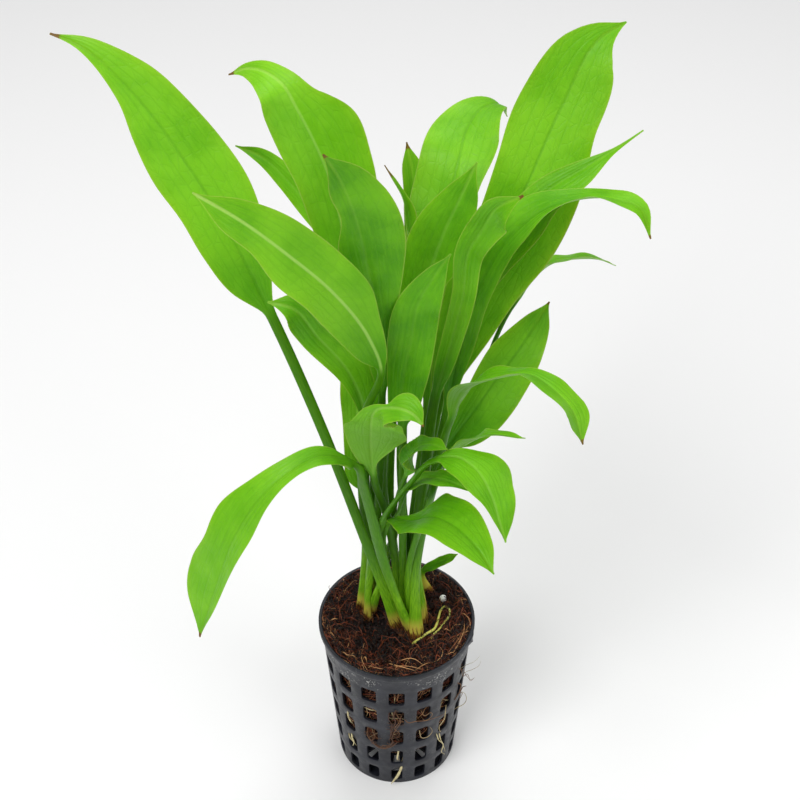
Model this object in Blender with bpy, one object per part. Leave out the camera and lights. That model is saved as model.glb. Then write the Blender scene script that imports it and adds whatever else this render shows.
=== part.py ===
"""A potted amazon sword plant: a round net pot, a plug of coir, two short crowns and their leaves.

Frame: +Z up, the front of the plant looks along -Y, and the origin is the middle of the pot's underside.
Sizes below are in millimetres. build() puts the finished meshes in metres.
"""

import math

import bmesh
import bpy
from mathutils import Vector

MM = 0.001
GAP = 0.3

# Net pot
RIM_RADIUS = 26.0
POT_HEIGHT = 64.0
LIP_HEIGHT = 2.6
WALL_TOP_RADIUS = 25.0
BASE_RADIUS = 20.5
WALL = 1.0
FLOOR = 1.2
HOLE_COLUMNS = 16
HOLE_TURN = math.radians(12.2)
HOLE_ROWS = ((1.9, 8.3), (12.0, 19.9), (24.0, 31.7), (35.7, 43.5), (47.4, 54.1))
LIP_WALL = 1.1
FLOOR_SLOT = (9.0, 16.5)

# Coir plug
SOIL_BOTTOM = 17.0
SOIL_EDGE = 61.4
SOIL_MIDDLE = 59.2
SOIL_BUMP = 0.5
SOIL_SECTORS = 28
SOIL_RINGS = 5

# Crowns: the short stems that the leaves grow from, (x, y, half-width, half-depth)
CROWNS = {"crown_front": (4.4, 0.5, 6.2, 6.4), "crown_left": (-10.0, 7.6, 3.5, 6.6)}
CROWN_TOP = 60.9
CROWN_DEPTH = 5.5
CROWN_SIDES = 16

# Small things on the soil
PELLET_PLACE = (15.7, 9.6)
PELLET_RADIUS = 1.25
ROOT_RADIUS = 0.5
ROOT_ROUTE = [
    (7.2, -8.0, 61.9), (9.7, -6.0, 62.2), (12.2, -4.0, 62.3), (13.2, -1.6, 62.4), (14.1, 1.5, 62.4),
    (14.9, 4.4, 62.3), (16.3, 6.0, 62.1), (17.9, 5.0, 61.9), (18.0, 2.6, 61.7), (16.7, -0.6, 61.5),
    (15.0, -3.4, 61.4), (13.6, -6.8, 61.3),
]

# Leaves
SEAT = CROWN_TOP + GAP + 0.1
FRONT = (0.0, -0.76, 0.65)
STALK_STATIONS = 5
BLADE_STATIONS = 10
TIP_CROWDING = 1.25
BLADE_THICKNESS = 0.55
MIDRIB_THICKNESS = 1.1

GREEN = (0.13, 0.42, 0.02, 1.0)
PALE_GREEN = (0.30, 0.60, 0.05, 1.0)
DEEP_GREEN = (0.05, 0.26, 0.01, 1.0)


class Leaf:
    """One leaf: a stalk and a blade on one midrib.

    seat: (x, y) of its foot on the crown
    midrib: points in millimetres from above the foot to the tip
    start: which of those points is the blade's start, counted from 1
    left, right: half-widths at even steps inside the blade, seen with the tip upward
    face: the way the upper side of the blade looks; turn: degrees about the midrib from there,
    at even steps from the blade's start to its tip
    fold: how far the margins rise, as a share of the half-width
    stalk: width of the stalk at its foot and where the blade begins
    """

    def __init__(self, seat, midrib, start, left, right, face=FRONT, turn=(0,), fold=0.15,
                 stalk=(2.1, 1.8), colour=GREEN):
        self.midrib = [Vector((*seat, SEAT))] + [Vector(p) for p in midrib]
        self.start = start
        self.left = (0.0, *left, 0.0)
        self.right = (0.0, *right, 0.0)
        self.face = Vector(face).normalized()
        self.turn = turn
        self.fold = fold
        self.stalk = stalk
        self.colour = colour


FRONT_CROWN_LEAVES = {
    "leaf_tall_left": Leaf(
        (0.6, -3),
        [(-9.2, -11, 110.6), (-22.4, -6, 156), (-34, -1, 189), (-43, 5, 209), (-55, 13, 229),
         (-70, 21, 248), (-83, 26, 258), (-90, 28, 260)],
        3, (7.1, 9.3, 9.4, 10, 8, 4, 1.6), (4.9, 9.3, 11.8, 11.5, 10, 8.1, 4.1), fold=0.1,
        stalk=(2.6, 2.4)),
    "leaf_drooping_left": Leaf(
        (2.9, -4.4),
        [(-4, -14, 102), (-10, -18, 141), (-12, -20, 152), (-22, -25, 160), (-31, -30, 157),
         (-38, -33, 151), (-45, -36, 140), (-52, -39, 121), (-58, -41, 102)],
        3, (3.8, 2.9, 4.7, 6, 5.5, 3.7, 2.3), (2.2, 3.6, 6.2, 9.3, 9.3, 11.7, 9.3),
        face=(-0.25, -0.3, 0.92), fold=0.12, stalk=(3.3, 2.8)),
    "leaf_front_curled": Leaf(
        (0.4, 0.3),
        [(-0.6, -6.6, 99), (-3, -9.6, 121), (-6.4, -17, 143.7), (-7.1, -19, 156.4),
         (-7.1, -21.3, 163.8), (-6.8, -23.6, 170.2), (-6.1, -25.6, 175.6), (-4.5, -27.2, 178.8),
         (-1.6, -29, 180.7), (1.4, -30.8, 181.9), (4.4, -32.6, 181.7), (7.4, -34.6, 178.9)],
        3, (3, 5.1, 6.7, 7.2, 3.2, 0.9, 4.7), (1, 6.2, 9.8, 9.5, 6.6, 4.4, 3), fold=0.1,
        colour=PALE_GREEN),
    "leaf_dark_front": Leaf(
        (2.7, -0.6),
        [(2, -8.4, 100), (2, -12.4, 158), (2, -12.6, 177), (4, -12.8, 190), (6, -13.8, 204),
         (10, -14.8, 213), (14, -15.8, 221)],
        2, (3.5, 4.1, 5.2, 6.3, 6.2, 4.7, 2.9), (4.4, 6.2, 6.8, 6.5, 6.5, 5.9, 3.1), fold=0.1,
        colour=DEEP_GREEN),
    "leaf_dark_pointed": Leaf(
        (4.8, 0.5),
        [(3.5, -4, 98), (1.2, -2.6, 138), (2, -1, 161), (4, 0, 184), (9, 1, 203), (13, 2, 216),
         (17, 3, 226), (21, 4, 236)],
        3, (3, 3.4, 5.2, 7, 8.6, 7.8, 4.4), (3, 5.4, 5.8, 5, 7.3, 6.7, 4.6), fold=0.1,
        colour=DEEP_GREEN),
    "leaf_tall_back": Leaf(
        (3.9, 2.9),
        [(3.9, 1.6, 95), (6.4, 6, 122), (9, 11, 146), (10, 16, 169), (13, 22, 189), (15, 30, 206),
         (18, 37, 218), (20, 44, 222), (24, 51, 225), (30, 58, 223), (33, 61, 217)],
        3, (3.3, 4.4, 9.3, 11.3, 11.1, 10.4, 5.3), (3.4, 6.3, 6.5, 7.2, 7.9, 10.2, 6.2),
        face=(0, -0.1, 0.99), fold=0.08, colour=PALE_GREEN),
    "leaf_short_upright": Leaf(
        (6.7, -1.7),
        [(5.9, -5.6, 99), (8.8, -7, 141), (11, -6, 164), (15, -6, 184), (18, -7, 202),
         (19, -8, 216), (22, -11, 225), (25, -15, 234), (31, -20, 241)],
        3, (2, 2.6, 2.8, 3, 3.5, 4, 2.9), (2, 2.8, 3.2, 3.4, 4, 4.6, 5.6), fold=0.25,
        stalk=(3.4, 2.4), colour=PALE_GREEN),
    "leaf_twisted_right": Leaf(
        (9.0, -0.6),
        [(6.2, -3, 98), (10.6, -2.6, 130), (14, -1, 152), (18, 1, 176), (23, 3, 197), (31, 4, 213),
         (40, 4, 222), (51, 3, 226), (57, -1, 228), (63, -4, 227), (66, -8, 220)],
        3, (2.2, 4.1, 5.3, 6.2, 6.8, 4.6, 3.6), (2.3, 3.9, 4.6, 4.6, 5, 4, 4),
        turn=(10, 15, 20, 35, 70, 0), fold=0.25, colour=DEEP_GREEN),
    "leaf_pointed_right": Leaf(
        (6.9, 0.8),
        [(6.2, -0.5, 98), (9.4, 1, 130), (13, 4, 155), (20, 8, 180), (29, 11, 204), (40, 13, 221),
         (50, 14, 228), (59, 15, 234), (65, 15, 239)],
        4, (2.2, 4.2, 5.3, 4.6, 3.7, 2.4, 0.6), (2.2, 4.6, 6.7, 8, 6.8, 4.9, 1.2), turn=(10, 20, 20)),
    "leaf_tall_right": Leaf(
        (6.2, 3),
        [(6.1, 1.6, 95), (8.8, 4, 118), (11, 5.5, 143), (15, 8.5, 163), (23, 13, 188),
         (30, 18, 204), (36, 23, 217), (45, 31, 237), (55, 38, 254), (62, 41, 257)],
        3, (3.9, 6.8, 9.2, 8.8, 10.3, 11.8, 9.4), (3.8, 8.2, 11.2, 15, 15, 11.8, 9.6), fold=0.08,
        colour=PALE_GREEN),
    "leaf_pale_right": Leaf(
        (8.8, 2.9),
        [(6.6, 5, 95), (10.8, 7, 112), (15, 8.4, 131), (23, 12, 143), (30, 17, 152), (37, 22, 160),
         (46, 30, 172)],
        3, (2.3, 4.6, 5.7, 6.8, 7.4, 6.1, 3.7), (6.1, 8.9, 9.7, 9.5, 8.5, 6.7, 4.2), fold=0.06,
        colour=PALE_GREEN),
    "leaf_back_right": Leaf(
        (6.6, 5.4),
        [(6.5, 7.5, 92), (14, 14.5, 119), (25, 26, 145), (36, 34, 170), (47, 38, 181),
         (55, 40, 181), (62, 42, 179), (67, 43, 176)],
        4, (1.5, 2.6, 3.2, 3.7, 4.1, 3.7, 2.3), (1.9, 3.1, 3.7, 4, 4.1, 3.7, 1.3),
        face=(0, 0.4, 0.9)),
    "leaf_arching_right": Leaf(
        (6.4, -4.5),
        [(6, -8.3, 99), (11.4, -9.6, 139), (15, -10, 160), (20, -12, 174), (28, -16, 181),
         (36, -20, 185), (42, -25, 184), (47, -29, 180), (50, -34, 172)],
        3, (3, 5.6, 6.3, 3.9, 3, 4.9, 5.2), (3, 5.8, 7, 6, 5.5, 6, 5.8), face=(0, 0.3, 0.95),
        fold=0.2, stalk=(2.9, 2.1)),
    "leaf_small_right": Leaf(
        (4.7, -2.2),
        [(3.8, -9.6, 99), (10.4, -15.6, 137), (13, -18, 151), (18, -21, 160), (26, -25, 168),
         (35, -29, 170)],
        3, (1.5, 3.1, 3.2, 4.8, 3.1, 2.6, 1.5), (1.9, 3.4, 4.2, 4.5, 4.2, 3.4, 1.9),
        face=(0, 0.35, 0.93), stalk=(1.8, 1.6)),
    "leaf_arching_left": Leaf(
        (-0.5, 2.9),
        [(-6.4, -1, 90), (-8.8, -4.2, 106), (-10, -12, 146), (-8, -15, 169), (-4, -17, 182),
         (-7, -20, 197), (-16, -24, 215), (-27, -27, 229), (-37, -28, 239), (-48, -28, 247)],
        5, (4.7, 6.9, 7.7, 7.6, 7.7, 5.1, 4.2), (2.9, 5.1, 8.1, 8.5, 8.4, 7.5, 4.4),
        turn=(0, 0, 10), fold=0.2),
    "leaf_rolled_young": Leaf(
        (1.7, 2.2),
        [(-0.6, 4, 96), (-3.4, 3.8, 120), (0, 6.4, 157), (3, 10, 191), (4, 12, 210), (2, 13, 220),
         (-3, 14, 229)],
        4, (1.2, 1.8, 2, 2, 1.7, 1.1, 0.4), (1.2, 1.8, 2, 2, 1.5, 0.8, 0.4), face=(0.5, -0.6, 0.6),
        fold=0.6, stalk=(1.7, 1.3)),
    "leaf_narrow_back": Leaf(
        (2.2, 5.2),
        [(-2, 9.6, 110), (-0.6, 15, 146), (2, 24, 173), (4, 32, 193), (5, 38, 208), (3, 43, 219)],
        3, (0.8, 1, 1.4, 1.9, 2.6, 3, 2.6), (2.4, 3.4, 3.8, 4, 3.6, 3.2, 2.7), face=(0, -0.3, 0.95)),
}

LEFT_CROWN_LEAVES = {
    "leaf_low_left": Leaf(
        (-11.3, 4.4),
        [(-9.4, 0.4, 98), (-9.6, -4, 130), (-9, -7.5, 156), (-10, -9, 167), (-14, -11, 180),
         (-21, -12, 191), (-28, -13, 202), (-34, -12, 203)],
        3, (1.5, 3, 4, 4.5, 4.5), (5, 8, 9, 8, 6), fold=0.1, stalk=(3, 2.2)),
    "leaf_upper_left": Leaf(
        (-11.3, 9.2),
        [(-8.6, 6.2, 98), (-7, 5, 122), (-7.5, 7, 153), (-10, 9, 181), (-14, 12, 206),
         (-19, 14, 229), (-26, 18, 244), (-29, 20, 249), (-34, 24, 251), (-39, 28, 250),
         (-45, 32, 246)],
        4, (3.8, 6.8, 8.4, 9.2, 9.8, 8.6, 4.2), (5.1, 8.2, 11, 12.6, 12.8, 5.2, 2.6),
        face=(0.1, -0.7, 0.75)),
    "leaf_small_left": Leaf(
        (-11.1, 11.6),
        [(-9.4, 9.4, 98), (-10.2, 9.4, 122), (-11.5, 11, 158), (-13.8, 15, 185.4),
         (-18.3, 20, 202.9), (-23.8, 23, 209.3), (-30.4, 27, 216.2), (-37.2, 30, 221.8),
         (-44.7, 32, 224.3)],
        4, (1.8, 2.6, 3.2, 3.2, 3.1, 2.7, 1.9), (3, 4.8, 5, 5, 4.2, 3.2, 2), fold=0.3),
    "leaf_hidden_left": Leaf(
        (-11.3, 6.8),
        [(-9.5, 3.4, 97), (-10, 2.4, 118), (-11.6, 3.6, 130), (-11.8, 5.4, 149), (-11.4, 8, 165),
         (-10.8, 11, 179)],
        2, (4.2, 3.8, 3.9, 4.3, 4.8, 4.6, 3.8), (2.4, 3.1, 2.9, 2.6, 2.1, 1.8, 1.2)),
    "leaf_dark_centre": Leaf(
        (-8.8, 10.0),
        [(-2.4, 0.6, 100), (-0.7, -4.2, 114), (-0.6, -10.2, 128), (2.2, -14.4, 142),
         (5.4, -18, 156), (9, -22.5, 162), (14, -28, 165)],
        4, (2.3, 3.7, 4, 3.9, 3, 2.4, 2), (2.2, 4.1, 5.4, 6, 5.4, 4.1, 2.2), face=(0, -0.3, 0.95),
        stalk=(1.9, 1.6), colour=DEEP_GREEN),
    "leaf_front_right": Leaf(
        (-8.9, 2.7),
        [(-8.4, -1, 84), (-6.8, -7.9, 107.5), (-2, -17.4, 133), (4, -22, 148), (11, -27, 161),
         (17, -29, 163), (22, -33, 162), (26, -38, 157), (28, -42, 152), (30, -45, 146)],
        5, (2.1, 4.5, 7, 8, 6.8, 5.2, 3.4), (5.3, 7.3, 7.5, 6, 4.2, 2.3, 1), face=(0.1, -0.1, 0.99),
        fold=0.12, stalk=(2.3, 2.1)),
    "leaf_low_front": Leaf(
        (-8.6, 5.2),
        [(-6.4, -1.8, 79), (-4.8, -4.2, 90), (-3.9, -9.6, 108), (-2.4, -13.2, 123), (5, -23.4, 133),
         (12, -30.4, 141), (17, -35.4, 142), (22, -41.4, 141), (27, -48.4, 137)],
        4, (0.9, 4.5, 10.8, 9.6, 8.7, 6.8, 4.1), (3.3, 5.8, 8.8, 12.6, 8.8, 7.3, 4.5),
        face=(0.1, -0.1, 0.99)),
    "leaf_small_front": Leaf(
        (-8.6, 7.6),
        [(-5.6, 3.6, 82), (-3.5, -1.2, 92), (-0.6, -5.4, 110), (0, -12.2, 125), (3, -15, 138),
         (7, -18.6, 145), (14, -24.4, 150), (22, -30.4, 151)],
        5, (1.3, 2.1, 2.6, 2.8, 2.7, 2.4, 1.3), (3.1, 5.1, 5, 3.6, 2.9, 2.2, 1),
        face=(0, -0.2, 0.98), stalk=(1.9, 1.6), colour=DEEP_GREEN),
    "leaf_centre_bent": Leaf(
        (-8.7, 12.4),
        [(-6.5, 2, 100), (-5, -7.4, 134), (-4, -10, 167), (-4.6, -11, 195), (-6.8, -13.5, 212),
         (-9, -16.5, 228), (-11.2, -19.5, 239), (-13.8, -22, 248), (-17, -24, 255)],
        3, (2.9, 4.6, 4.2, 5, 6.4, 3.6, 3.8), (2.6, 4.2, 5.8, 8.9, 11, 10.6, 7), fold=0.08),
}

TORN_STUB = {
    "leaf_torn_stub": Leaf(
        (11.4, 12.6),
        [(8.6, 11.6, 73), (14, 10.6, 79), (20, 9.4, 84)],
        1, (1, 1.4, 1.5, 1.5, 1.3), (1, 1.4, 1.5, 1.5, 1.3), fold=0.3, stalk=(1.8, 1.5)),
}

LEAVES = {**FRONT_CROWN_LEAVES, **LEFT_CROWN_LEAVES, **TORN_STUB}


def principled(name, colour, roughness, metallic=0.0):
    material = bpy.data.materials.new(name)
    material.use_nodes = True
    shader = material.node_tree.nodes["Principled BSDF"]
    shader.inputs["Base Color"].default_value = colour
    shader.inputs["Roughness"].default_value = roughness
    shader.inputs["Metallic"].default_value = metallic
    return material


def add_object(name, mesh, material, smooth_angle=50.0):
    mesh.materials.append(material)
    mesh.shade_smooth()
    mesh.set_sharp_from_angle(angle=math.radians(smooth_angle))
    obj = bpy.data.objects.new(name, mesh)
    bpy.context.scene.collection.objects.link(obj)
    return obj


def mesh_from(name, points, faces):
    """A closed mesh from points in millimetres, its faces turned outward."""
    mesh = bpy.data.meshes.new(name)
    mesh.from_pydata([Vector(p) * MM for p in points], [], faces)
    work = bmesh.new()
    work.from_mesh(mesh)
    bmesh.ops.remove_doubles(work, verts=work.verts, dist=0.02 * MM)
    bmesh.ops.recalc_face_normals(work, faces=work.faces)
    work.to_mesh(mesh)
    work.free()
    return mesh


def smoothstep(t):
    t = min(1.0, max(0.0, t))
    return t * t * (3.0 - 2.0 * t)


def mix(a, b, t):
    return a + (b - a) * t


def wall_radius(z):
    """Outer radius of the pot's wall below its lip."""
    return mix(BASE_RADIUS, WALL_TOP_RADIUS, z / (POT_HEIGHT - LIP_HEIGHT))


def pot_angles():
    """Angles round the pot: each column has a hole's span and then a bar's."""
    pitch = 2.0 * math.pi / HOLE_COLUMNS
    angles = []
    for column in range(HOLE_COLUMNS):
        middle = column * pitch - math.pi / 2.0
        angles += [middle - HOLE_TURN / 2.0, middle + HOLE_TURN / 2.0]
    return angles


def pot_stations():
    """(outer radius, outer z, inner radius, inner z, holes above) from the floor's middle to the lip."""
    stations = [
        (FLOOR_SLOT[0], 0.0, FLOOR_SLOT[0], FLOOR, "slots"),
        (FLOOR_SLOT[1], 0.0, FLOOR_SLOT[1], FLOOR, None),
        (BASE_RADIUS, 0.0, wall_radius(FLOOR) - WALL, FLOOR, None),
    ]
    for low, high in HOLE_ROWS:
        stations.append((wall_radius(low), low, wall_radius(low) - WALL, low, "holes"))
        stations.append((wall_radius(high), high, wall_radius(high) - WALL, high, None))
    lip = POT_HEIGHT - LIP_HEIGHT
    stations.append((WALL_TOP_RADIUS, lip, WALL_TOP_RADIUS - WALL, lip, None))
    stations.append((RIM_RADIUS, lip + 0.5, RIM_RADIUS - LIP_WALL, lip + 0.9, None))
    stations.append((RIM_RADIUS, POT_HEIGHT, RIM_RADIUS - LIP_WALL, POT_HEIGHT, None))
    return stations


def make_pot():
    """The net pot: one surface of revolution, with rows of holes in its wall and slots in its floor."""
    angles = pot_angles()
    count = len(angles)
    stations = pot_stations()
    points = [(0.0, 0.0, 0.0), (0.0, 0.0, FLOOR)]
    for outer_r, outer_z, inner_r, inner_z, _ in stations:
        for r, z in ((outer_r, outer_z), (inner_r, inner_z)):
            points += [(r * math.cos(a), r * math.sin(a), z) for a in angles]

    def at(station, inner, k):
        return 2 + (2 * station + inner) * count + k % count

    faces = []
    for k in range(count):
        faces.append((0, at(0, 0, k + 1), at(0, 0, k)))
        faces.append((1, at(0, 1, k), at(0, 1, k + 1)))
    for i in range(len(stations) - 1):
        kind = stations[i][4]
        for k in range(count):
            column, over_hole = divmod(k, 2)
            is_open = over_hole == 0 and (kind == "holes" or (kind == "slots" and column % 2 == 0))
            if is_open:
                ends = [(at(i, 0, k), at(i, 0, k + 1), at(i, 1, k + 1), at(i, 1, k))]
                ends.append((at(i + 1, 0, k), at(i + 1, 0, k + 1), at(i + 1, 1, k + 1), at(i + 1, 1, k)))
                sides = [(at(i, 0, k), at(i + 1, 0, k), at(i + 1, 1, k), at(i, 1, k))]
                sides.append((at(i, 0, k + 1), at(i + 1, 0, k + 1), at(i + 1, 1, k + 1), at(i, 1, k + 1)))
                faces += ends + sides
                continue
            faces.append((at(i, 0, k), at(i, 0, k + 1), at(i + 1, 0, k + 1), at(i + 1, 0, k)))
            faces.append((at(i, 1, k), at(i + 1, 1, k), at(i + 1, 1, k + 1), at(i, 1, k + 1)))
    last = len(stations) - 1
    for k in range(count):
        faces.append((at(last, 0, k), at(last, 0, k + 1), at(last, 1, k + 1), at(last, 1, k)))
    return mesh_from("net_pot", points, faces)


def soil_height(x, y):
    """Top of the coir: higher by the pot's wall, with soft lumps."""
    share = math.hypot(x, y) / (WALL_TOP_RADIUS - WALL)
    lumps = math.sin(0.55 * x + 1.1) * math.cos(0.5 * y - 0.4) + 0.5 * math.sin(0.9 * y + 0.3 * x)
    return mix(SOIL_MIDDLE, SOIL_EDGE, min(1.0, share) ** 2) + SOIL_BUMP * lumps * (1.0 - share ** 4)


def make_soil_blank():
    """The coir plug, a gap clear of the pot's tapered wall, before the crowns' hollows are cut."""
    bottom_z = SOIL_BOTTOM
    bottom_r = wall_radius(SOIL_BOTTOM) - WALL - GAP - 0.1
    top_r = wall_radius(SOIL_EDGE) - WALL - GAP - 0.1
    turns = [2.0 * math.pi * k / SOIL_SECTORS for k in range(SOIL_SECTORS)]
    points = [(0.0, 0.0, bottom_z), (0.0, 0.0, soil_height(0.0, 0.0))]
    points += [(bottom_r * math.cos(a), bottom_r * math.sin(a), bottom_z) for a in turns]
    for ring in range(SOIL_RINGS, 0, -1):
        r = top_r * ring / SOIL_RINGS
        for a in turns:
            x, y = r * math.cos(a), r * math.sin(a)
            points.append((x, y, soil_height(x, y)))
    faces = []
    for k in range(SOIL_SECTORS):
        n = (k + 1) % SOIL_SECTORS
        faces.append((0, 2 + n, 2 + k))
        for ring in range(SOIL_RINGS):
            low = 2 + ring * SOIL_SECTORS
            high = low + SOIL_SECTORS
            faces.append((low + k, low + n, high + n, high + k))
        inmost = 2 + SOIL_RINGS * SOIL_SECTORS
        faces.append((inmost + k, inmost + n, 1))
    return mesh_from("coir_plug", points, faces)


def make_crown(name, x, y, half_width, half_depth, grow=0.0):
    """A squat oval stem, its top just under the leaves' feet; grow enlarges it, for a cutter."""
    low = CROWN_TOP - CROWN_DEPTH
    profile = [(0.62, low - grow), (1.0, low + 1.6), (1.0, CROWN_TOP - 0.9), (0.86, CROWN_TOP + 4 * grow)]
    turns = [2.0 * math.pi * k / CROWN_SIDES for k in range(CROWN_SIDES)]
    points = [
        (x + (share * half_width + grow) * math.cos(a), y + (share * half_depth + grow) * math.sin(a), z)
        for share, z in profile
        for a in turns
    ]
    faces = [tuple(range(CROWN_SIDES))[::-1]]
    for level in range(len(profile) - 1):
        for k in range(CROWN_SIDES):
            n = (k + 1) % CROWN_SIDES
            low_k = level * CROWN_SIDES
            high_k = low_k + CROWN_SIDES
            faces.append((low_k + k, low_k + n, high_k + n, high_k + k))
    top = (len(profile) - 1) * CROWN_SIDES
    faces.append(tuple(top + k for k in range(CROWN_SIDES)))
    return mesh_from(name, points, faces)


def smooth_curve(points, per_span=16):
    """Points along a smooth curve through these, with tangents weighted by the spans' lengths."""
    spans = [(b - a).length for a, b in zip(points, points[1:])]
    slopes = [(b - a) / d for a, b, d in zip(points, points[1:], spans)]
    tangents = [slopes[0]]
    for i in range(1, len(points) - 1):
        tangents.append((slopes[i - 1] * spans[i] + slopes[i] * spans[i - 1]) / (spans[i] + spans[i - 1]))
    tangents.append(slopes[-1])
    line = []
    for i, d in enumerate(spans):
        for step in range(per_span):
            t = step / per_span
            line.append(
                points[i] * (2 * t ** 3 - 3 * t * t + 1)
                + points[i + 1] * (3 * t * t - 2 * t ** 3)
                + tangents[i] * d * (t ** 3 - 2 * t * t + t)
                + tangents[i + 1] * d * (t ** 3 - t * t)
            )
    line.append(points[-1].copy())
    return line


def along(line, lengths, distance):
    """(point, unit tangent) at a distance along a line, whose running lengths are given."""
    i = 1
    while i < len(lengths) - 1 and lengths[i] < distance:
        i += 1
    share = (distance - lengths[i - 1]) / (lengths[i] - lengths[i - 1])
    return line[i - 1].lerp(line[i], share), (line[i] - line[i - 1]).normalized()


def even_value(values, t):
    """Smooth value at t from 0 to 1 of values given at even steps."""
    if len(values) == 1:
        return values[0]
    place = min(1.0, max(0.0, t)) * (len(values) - 1)
    i = min(int(place), len(values) - 2)
    return mix(values[i], values[i + 1], smoothstep(place - i))


def blade_half(widths, s):
    """Half-width of the blade at s from 0 to 1, on a smooth curve through its even steps."""
    place = min(1.0, max(0.0, s)) * (len(widths) - 1)
    i = min(int(place), len(widths) - 2)
    t = place - i
    before = widths[max(i - 1, 0)]
    after = widths[min(i + 2, len(widths) - 1)]
    rise = 0.5 * (widths[i + 1] - before)
    fall = 0.5 * (after - widths[i])
    value = (widths[i] * (2 * t ** 3 - 3 * t * t + 1) + widths[i + 1] * (3 * t * t - 2 * t ** 3)
             + rise * (t ** 3 - 2 * t * t + t) + fall * (t ** 3 - t * t))
    return max(0.0, value)


def leaf_ring(leaf, centre, tangent, stalk_share, s):
    """Eight points round the leaf: five over the top from margin to margin, and three back underneath."""
    across = tangent.cross(leaf.face).normalized()
    up = across.cross(tangent).normalized()
    turn = math.radians(even_value(leaf.turn, s))
    side = across * math.cos(turn) + up * math.sin(turn)
    normal = side.cross(tangent).normalized()
    stalk_half = 0.5 * mix(leaf.stalk[0], leaf.stalk[1], stalk_share) * (1.0 - 0.8 * s)
    left = math.hypot(stalk_half, blade_half(leaf.left, s))
    right = math.hypot(stalk_half, blade_half(leaf.right, s))
    flat = smoothstep(0.5 * (left + right) / stalk_half - 1.0)
    drop = 0.35 * stalk_half * (1.0 - flat)
    keel = mix(1.15 * stalk_half, MIDRIB_THICKNESS * (1.0 - 0.6 * s), flat)
    belly = mix(0.95 * stalk_half, BLADE_THICKNESS * (1.0 - 0.3 * s), flat)

    def height(v):
        half = left if v < 0.0 else right
        return leaf.fold * flat * half * abs(v) ** 1.2

    def place(v, n):
        half = left if v < 0.0 else right
        return centre + side * (v * half) + normal * n

    over = [place(v, height(v) - drop * abs(v)) for v in (-1.0, -0.5, 0.0, 0.5, 1.0)]
    under = [place(0.5, height(0.5) - belly), place(0.0, -keel), place(-0.5, height(-0.5) - belly)]
    return over + under


def make_leaf(name, leaf):
    """The stalk and blade as one loft of rings along the midrib, closed at its foot and tip."""
    line = smooth_curve(leaf.midrib)
    lengths = [0.0]
    for a, b in zip(line, line[1:]):
        lengths.append(lengths[-1] + (b - a).length)
    blade_from = lengths[leaf.start * 16]
    stations = [(blade_from * i / STALK_STATIONS, i / STALK_STATIONS, 0.0) for i in range(STALK_STATIONS)]
    for i in range(BLADE_STATIONS):
        s = 0.985 * (1.0 - (1.0 - i / (BLADE_STATIONS - 1)) ** TIP_CROWDING)
        stations.append((mix(blade_from, lengths[-1], s), 1.0, s))
    points = []
    for distance, stalk_share, s in stations:
        centre, tangent = along(line, lengths, distance)
        points += leaf_ring(leaf, centre, tangent, stalk_share, s)
    faces = [tuple(range(8))]
    for i in range(len(stations) - 1):
        for k in range(8):
            n = (k + 1) % 8
            faces.append((8 * i + k, 8 * i + n, 8 * i + 8 + n, 8 * i + 8 + k))
    end = 8 * (len(stations) - 1)
    faces.append(tuple(end + k for k in range(8))[::-1])
    return mesh_from(name, points, faces)


def make_root(material):
    """The pale root that loops over the soil beside the front crown."""
    curve = bpy.data.curves.new("surface_root", "CURVE")
    curve.dimensions = "3D"
    curve.bevel_depth = ROOT_RADIUS * MM
    curve.bevel_resolution = 0
    curve.use_fill_caps = True
    route = smooth_curve([Vector(p) for p in ROOT_ROUTE], per_span=2)
    spline = curve.splines.new("POLY")
    spline.points.add(len(route) - 1)
    for spline_point, place in zip(spline.points, route):
        spline_point.co = (*(place * MM), 1.0)
    curve.materials.append(material)
    obj = bpy.data.objects.new("surface_root", curve)
    bpy.context.scene.collection.objects.link(obj)


def make_pellet(material):
    """The round white pellet that lies on the soil."""
    x, y = PELLET_PLACE
    ball = bmesh.new()
    bmesh.ops.create_icosphere(ball, subdivisions=2, radius=PELLET_RADIUS * MM)
    mesh = bpy.data.meshes.new("white_pellet")
    ball.to_mesh(mesh)
    ball.free()
    obj = add_object("white_pellet", mesh, material)
    obj.location = Vector((x, y, soil_height(x, y) + PELLET_RADIUS + GAP)) * MM


def cut(target, cutter_mesh):
    cutter = bpy.data.objects.new(cutter_mesh.name, cutter_mesh)
    bpy.context.scene.collection.objects.link(cutter)
    cutter.hide_render = True
    cutter.display_type = "WIRE"
    boolean = target.modifiers.new(cutter.name, "BOOLEAN")
    boolean.operation = "DIFFERENCE"
    boolean.object = cutter


def build():
    for obj in list(bpy.data.objects):
        bpy.data.objects.remove(obj, do_unlink=True)
    plastic = principled("black_plastic", (0.025, 0.028, 0.033, 1.0), 0.45)
    coir = principled("coir", (0.10, 0.035, 0.015, 1.0), 0.95)
    stem = principled("stem_base", (0.45, 0.38, 0.08, 1.0), 0.6)
    root = principled("root", (0.62, 0.60, 0.22, 1.0), 0.5)
    white = principled("white_mineral", (0.85, 0.84, 0.80, 1.0), 0.6)

    add_object("net_pot", make_pot(), plastic, 30.0)
    plug = add_object("coir_plug", make_soil_blank(), coir)
    for name, sizes in CROWNS.items():
        add_object(name, make_crown(name, *sizes), stem)
        cut(plug, make_crown(name + "_hollow", *sizes, grow=GAP))
    for name, leaf in LEAVES.items():
        add_object(name, make_leaf(name, leaf), principled(name, leaf.colour, 0.4))
    make_root(root)
    make_pellet(white)


build()
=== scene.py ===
"""Looks of a potted amazon sword plant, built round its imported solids.

Frame: +Z up, the front of the plant looks along -Y, and the origin is the middle of the pot's underside.
Sizes are in millimetres in the making and in metres in the meshes.
"""

import math
from typing import NamedTuple

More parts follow.
